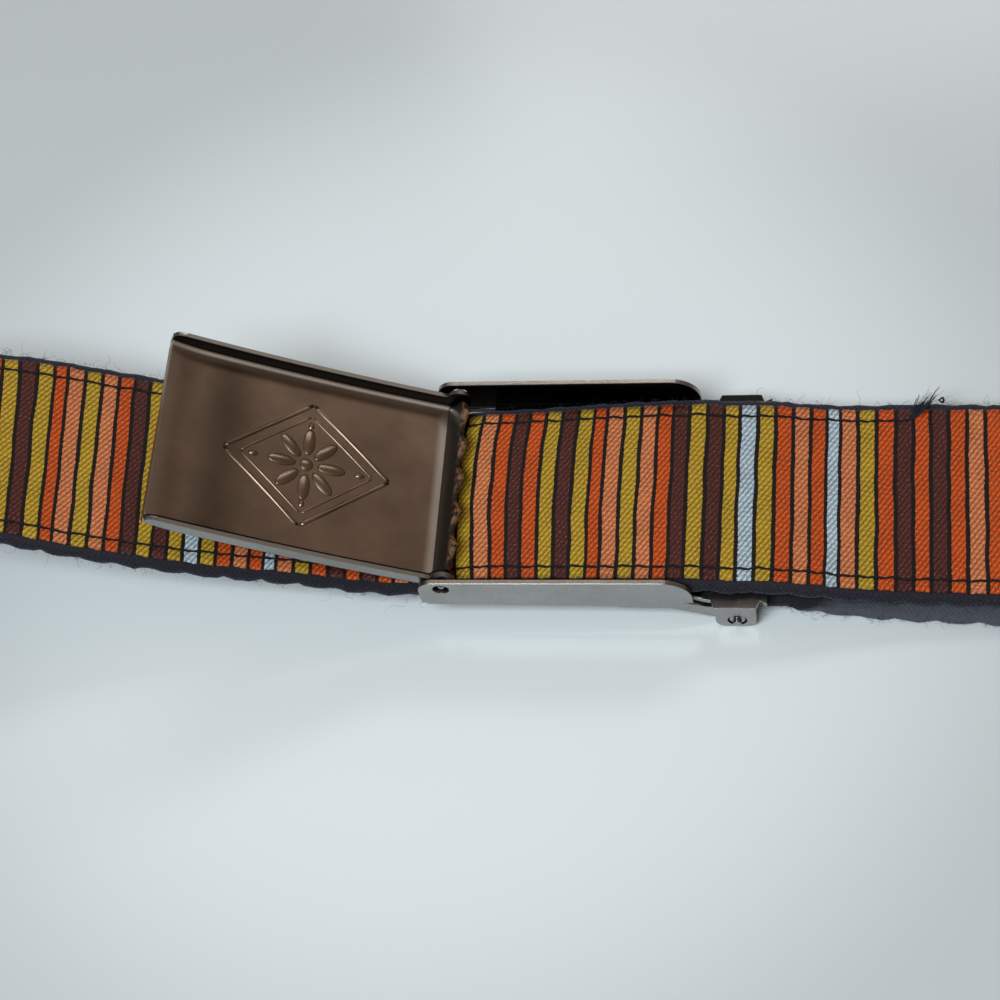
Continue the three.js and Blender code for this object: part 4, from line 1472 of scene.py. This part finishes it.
@dataclass
class BuckleCover:
    """The flipped open cover, drawn in CoverAxes, where the inner face looks down.

    Args:
        sheet: thickness of the metal.
        length: from the hinge to the free end.
        half_width: over the flanges.
        top: outer face of the plate above the hinge.
        root: where the plate ends at the folded end.
        flange_bottom: lower edge of the flanges.
        flange_corner: radius of the flanges' corners at the free end.
        bend: radius of the bends at the middle of the sheet.
        lip_start: where the free end starts to curl.
        lip_drop: how far it curls.
        lug: radius of the flanges about the hinge.
        boss_radius: of the hinge bosses.
        boss_end: their ends from the belt's middle.
        tooth_tip: x and z of the teeth's points.
        tooth_height: depth of the gaps.
        tooth_pitch: from one tooth to the next.
        tooth_rise: share of the pitch over which the gap deepens.
        tooth_first: y of the first tooth.
        tooth_count: number of teeth.
        fold_reach: length over which the folded end turns down.
        cam_half_width: half of the folded end's width.
        edge: radius of the sheet's broken edges.
        sharp: from how many degrees on an edge is broken.
        relief: height of the ornament's highest parts.
    """

    sheet: float = 1.1
    length: float = COVER_AXES.length
    half_width: float = 19.1
    top: float = 4.0
    root: float = 1.0
    flange_bottom: float = 0.0
    flange_corner: float = 2.6
    bend: float = 1.4
    lip_start: float = 46.5
    lip_drop: float = 0.8
    lug: float = 2.2
    boss_radius: float = 1.2
    boss_end: float = 20.5
    tooth_tip: tuple[float, float] = (-1.4, -2.5)
    tooth_height: float = 1.75
    tooth_pitch: float = 6.94
    tooth_rise: float = 0.42
    tooth_first: float = -12.6
    tooth_count: int = 5
    fold_reach: float = 0.7
    cam_half_width: float = 17.3
    edge: float = 0.13
    sharp: float = 50.0
    relief: float = 0.34

    def lip(self, x: Array) -> Array:
        """How far the plate has curled down at x: a parabola from lip_start on."""
        t = np.clip((x - self.lip_start) / (self.length - self.lip_start), 0, None)
        return self.lip_drop * t**2

    def flange_edge(self) -> tuple[Array, Array]:
        """Follows a flange's free outline: round the hinge lug, along the bottom, up at the free end.

        Returns:
            The outline's x and z, and the x at which each of its points meets the bend.
        """
        low = self.flange_bottom
        start = math.radians(52)
        end = 2 * math.pi + math.asin(low / self.lug)
        turn = np.linspace(start, end, 26)
        lug = np.stack([self.lug * np.cos(turn), self.lug * np.sin(turn)], -1)
        straight = self.length - self.flange_corner
        run_x = np.linspace(lug[-1, 0] + 1.0, straight, 44)
        run = np.stack([run_x, np.full(len(run_x), low)], -1)
        sweep = np.linspace(0, math.pi / 2, 10)[1:]
        rise = self.top - self.lip_drop - self.sheet / 2 - self.bend - 0.1 - low
        corner_x = straight + (self.flange_corner - 0.25) * np.sin(sweep)
        corner = np.stack([corner_x, low + rise * (1 - np.cos(sweep))], -1)
        outline = np.vstack([lug, run, corner])
        onto = np.concatenate([
            np.linspace(self.root, lug[-1, 0] + 0.95, len(lug)),
            run_x,
            np.linspace(straight, self.length, len(corner) + 1)[1:],
        ])
        return outline, onto

    def tray(self) -> Skin:
        """Lays the plate, both bends and both flanges as one surface at the middle of the sheet.

        Each row runs from the near flange's free outline up to the bend as a straight line, round
        the bend as a quarter circle, straight across the plate, and down again at the far side.
        """
        outline, onto = self.flange_edge()
        level = self.top - self.sheet / 2 - self.lip(onto)
        wall = self.half_width - self.sheet / 2
        down = level - self.bend
        rows = len(onto)
        part = np.linspace(0, 1, 7)[:, None]
        flange_x = outline[:, 0] + (onto - outline[:, 0]) * part
        flange_z = outline[:, 1] + (down - outline[:, 1]) * part
        turn = np.linspace(0, math.pi / 2, 7)[1:, None]
        bend_y = wall - self.bend + self.bend * np.cos(turn)
        bend_z = down + self.bend * np.sin(turn)
        plate_y = np.linspace(wall - self.bend, -(wall - self.bend), 41)[1:-1, None]
        x = np.vstack([flange_x, np.repeat(onto[None], len(turn), 0)])
        y = np.vstack([np.full((7, rows), wall), np.repeat(bend_y, rows, 1)])
        z = np.vstack([flange_z, bend_z])
        plate_x = np.repeat(onto[None], len(plate_y), 0)
        plate_z = np.repeat(level[None], len(plate_y), 0)
        x = np.vstack([x, plate_x, x[::-1]])
        y = np.vstack([y, np.repeat(plate_y, rows, 1), -y[::-1]])
        z = np.vstack([z, plate_z, z[::-1]])
        return plate(COVER_AXES.opened(np.stack([x, y, z], -1)), self.sheet)

    def folded_end(self) -> Skin:
        """Lays the toothed end: from inside the plate round a bend and straight down to the teeth.

        A column ends at the teeth's outline, a triangle wave across the belt; the other points of
        the column are spaced evenly from the plate to there.
        """
        tip = np.array(self.tooth_tip)
        start = np.array([self.root, self.top - self.sheet / 2])
        down = unit(tip + np.array([0.35, 0.1]) - start)
        y = np.linspace(-self.cam_half_width, self.cam_half_width, 141)
        first, pitch, rise = self.tooth_first, self.tooth_pitch, self.tooth_rise
        last = first + (self.tooth_count - 1) * pitch
        phase = ((y - first) / pitch) % 1.0
        gap = np.where(phase < rise, phase / rise, (1 - phase) / (1 - rise)) * self.tooth_height
        gap = np.where((y < first - pitch) | (y > last + pitch), self.tooth_height, gap)
        reach = float(np.linalg.norm(tip - start))
        run = (reach - gap)[None] * np.linspace(0, 1, 12)[:, None]
        curve = np.exp(-run / self.fold_reach)[..., None]
        straight = start + down * run[..., None]
        lead = start + np.array([-1.0, 0.0]) * run[..., None]
        inner = np.repeat((start + [[1.2, 0.0]])[:, None], len(y), 1)
        side = np.concatenate([inner, straight * (1 - curve) + lead * curve])
        across = np.repeat(y[None], len(side), 0)
        grid = np.stack([side[..., 0], across, side[..., 1]], -1)
        return plate(COVER_AXES.opened(grid), self.sheet - 0.04)

    def bosses(self) -> Skin:
        """Turns the two hinge bosses: domed studs through the flanges, which the frame's holes take."""
        radius = self.boss_radius
        profile = np.array([
            (0.2, 0.0), (0.55, 0.08), (0.8, 0.35), (0.85, 0.8), (radius, 0.9), (radius, 1.95),
        ])
        turn = np.linspace(0, 2 * math.pi, 25)[:-1]
        circle = profile[:, :1, None] * np.stack([np.cos(turn), np.sin(turn)], -1)
        studs = []
        for side in (-1, 1):
            y = np.repeat(side * (self.boss_end - profile[:, 1:]), len(turn), 1)
            grid = np.stack([circle[..., 0], y, circle[..., 1]], -1)
            studs.append(ringed(COVER_AXES.opened(grid), flipped=side < 0))
        return reduce(Skin.joined, studs)

    def ornament(self) -> Skin:
        """Raises two lozenges of line round an eight-petalled rosette from the inner face.

        A petal is a low mound on an ellipse: height falls from its middle as one less the square
        of the distance. A line is the same mound on a long shape with nearly even sides.
        """
        middle = np.array([26.0, 0.0])
        corners = np.array([(15.4, 0), (0, 12.4), (-15.4, 0), (0, -12.4), (15.4, 0)], float)
        mounds = []
        for size, half_width in ((1.0, 0.42), (0.8, 0.24)):
            for a, b in zip(corners[:-1] * size, corners[1:] * size):
                mounds.append(self.mound(middle + (a + b) / 2, (b - a) / 2 * 1.02, half_width, 0.3))
        for turn in 2 * math.pi * np.arange(8) / 8:
            heading = np.array([math.cos(turn), math.sin(turn)])
            mounds.append(self.mound(middle + heading * 4.6, heading * 2.7, 1.15))
        for heading in corners[:-1]:
            mounds.append(self.mound(middle + heading * 0.64, heading * 0.06, 0.55))
        mounds.append(self.mound(middle, np.array([1.25, 0.0]), 1.25))
        return reduce(Skin.joined, mounds)

    def mound(self, middle: Array, half: Array, half_width: float, blunt: float = 1.0) -> Skin:
        """Raises one low mound from the inner face.

        Args:
            middle: its middle in plan.
            half: from its middle to its end.
            half_width: half of its width.
            blunt: 1 for an ellipse, less for straighter sides.

        Returns:
            The mound.
        """
        turn = np.linspace(0, 2 * math.pi, 33)[:-1]
        square = np.array([-half[1], half[0]]) / np.linalg.norm(half) * half_width
        ring = np.linspace(1, 0.08, 7)
        forward = np.sign(np.cos(turn)) * np.abs(np.cos(turn)) ** blunt
        sideways = np.sign(np.sin(turn)) * np.abs(np.sin(turn)) ** blunt
        plan = (half * forward[:, None] + square * sideways[:, None])[None] * ring[:, None, None]
        height = min(self.relief, half_width * 0.8) * (1 - ring**2)
        z = self.top - self.sheet + 0.02 - height[:, None] * np.ones(len(turn))
        grid = np.concatenate([middle + plan, z[..., None]], -1)
        return ringed(COVER_AXES.opened(grid), flipped=True)

    def dress(self) -> None:
        """Makes the cover's pieces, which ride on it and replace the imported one."""
        finish = GUNMETAL.material()
        tray = self.tray().build("cover_tray", finish)
        fold = self.folded_end().build("cover_teeth", FOLDED_GUNMETAL.material())
        for piece in (tray, fold):
            break_edges(piece, self.edge, self.sharp, 2)
        bosses = self.bosses().build("hinge_bosses", SATIN_STEEL.material())
        ornament = self.ornament().build("cover_ornament", finish)
        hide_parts("buckle_cover")
        for piece in (tray, fold, bosses, ornament):
            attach(piece, Body.COVER.value)
            report(piece)

@dataclass(frozen=True)
class Camera:
    """The photograph's camera, in buckle millimetres and degrees.

    Args:
        target: the point that it looks at.
        azimuth: how far it stands round to the right of the belt's near side.
        elevation: how far above level.
        roll: turn about its own axis.
        distance: from the target.
        lens: focal length.
        sensor: width of its sensor, millimetres.
    """

    target: tuple[float, float, float] = (12.394, 0.068, 0.0)
    azimuth: float = 19.6926
    elevation: float = 59.6729
    roll: float = 17.4813
    distance: float = 436.181
    lens: float = 86.4
    sensor: float = 36.0

    def build(self) -> None:
        """Adds the camera and makes it the scene's."""
        az, el, roll = (math.radians(angle) for angle in (self.azimuth, self.elevation, self.roll))
        ahead = np.array([-math.sin(az) * math.cos(el), math.cos(az) * math.cos(el), -math.sin(el)])
        right = np.array([math.cos(az), math.sin(az), 0.0])
        down = np.cross(ahead, right)
        turned_right = math.cos(roll) * right + math.sin(roll) * down
        turned_down = -math.sin(roll) * right + math.cos(roll) * down
        eye = AXES.place(np.array(self.target) - ahead * self.distance)
        data = bpy.data.cameras.new("photo_camera")
        data.lens = self.lens
        data.sensor_width = self.sensor
        data.clip_start = 0.01
        data.clip_end = 20.0
        camera = linked("photo_camera", data)
        stand(camera, turned_right, -turned_down, -ahead, eye)
        bpy.context.scene.camera = camera


@dataclass(frozen=True)
class SoftLight:
    """One studio soft box.

    Args:
        name: its name.
        direction: from the belt towards it.
        distance: metres.
        size: its two sides in metres.
        power: watts.
        colour: of its light.
    """

    name: str
    direction: tuple[float, float, float]
    distance: float
    size: tuple[float, float]
    power: float
    colour: Colour = (1.0, 1.0, 1.0)

    def build(self) -> None:
        """Adds the light, facing the belt."""
        data = bpy.data.lights.new(self.name, "AREA")
        data.shape = "RECTANGLE"
        data.size, data.size_y = self.size
        data.energy = self.power
        data.color = self.colour
        towards = unit(np.array(self.direction, float))
        side = unit(np.cross([0.0, 1.0, 0.01], towards))
        place = AXES.origin() + towards * self.distance
        stand(linked(self.name, data), side, np.cross(towards, side), towards, place)


@dataclass
class Studio:
    """The table, the lights, the room's tone and the camera.

    Args:
        half_table: half of the table's side, metres.
        room: colour of the room.
        room_strength: how bright the room is.
        lights: the soft boxes.
    """

    half_table: float = 4.0
    room: Colour = (0.27, 0.215, 0.18)
    room_strength: float = 0.92
    lights: tuple[SoftLight, ...] = (
        SoftLight("key", (-0.25, -0.62, 1.2), 0.9, (0.5, 0.36), 6.7, (0.88, 0.97, 1.0)),
        SoftLight("back", (0.2, 1.0, 0.9), 1.3, (0.9, 0.25), 3.1, (0.95, 0.98, 1.0)),
    )

    def build(self) -> None:
        """Makes the studio round the belt."""
        corners = np.array([(-1, -1), (1, -1), (1, 1), (-1, 1)], float) * self.half_table / MILLIMETRE
        points = np.concatenate([corners, np.full((4, 1), AXES.table())], 1)
        floor = Skin(points=points, quads=np.array([[0, 1, 2, 3]])).build("table_top", PaleTable().material())
        for light in self.lights:
            light.build()
        world = bpy.data.worlds.new("room")
        world.use_nodes = True
        background = world.node_tree.nodes["Background"]
        background.inputs["Color"].default_value = (*self.room, 1.0)
        background.inputs["Strength"].default_value = self.room_strength
        bpy.context.scene.world = world
        bpy.context.scene.view_settings.view_transform = "Standard"
        Camera().build()


def main() -> None:
    """Dresses the belt and sets it in the studio."""
    logging.basicConfig(level=logging.INFO, format="%(name)s %(message)s")
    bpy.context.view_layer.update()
    Studio().build()
    WebBelt(BeltLine()).dress()
    BuckleHardware().dress()
    BuckleCover().dress()


if __name__ == "__main__":
    main()
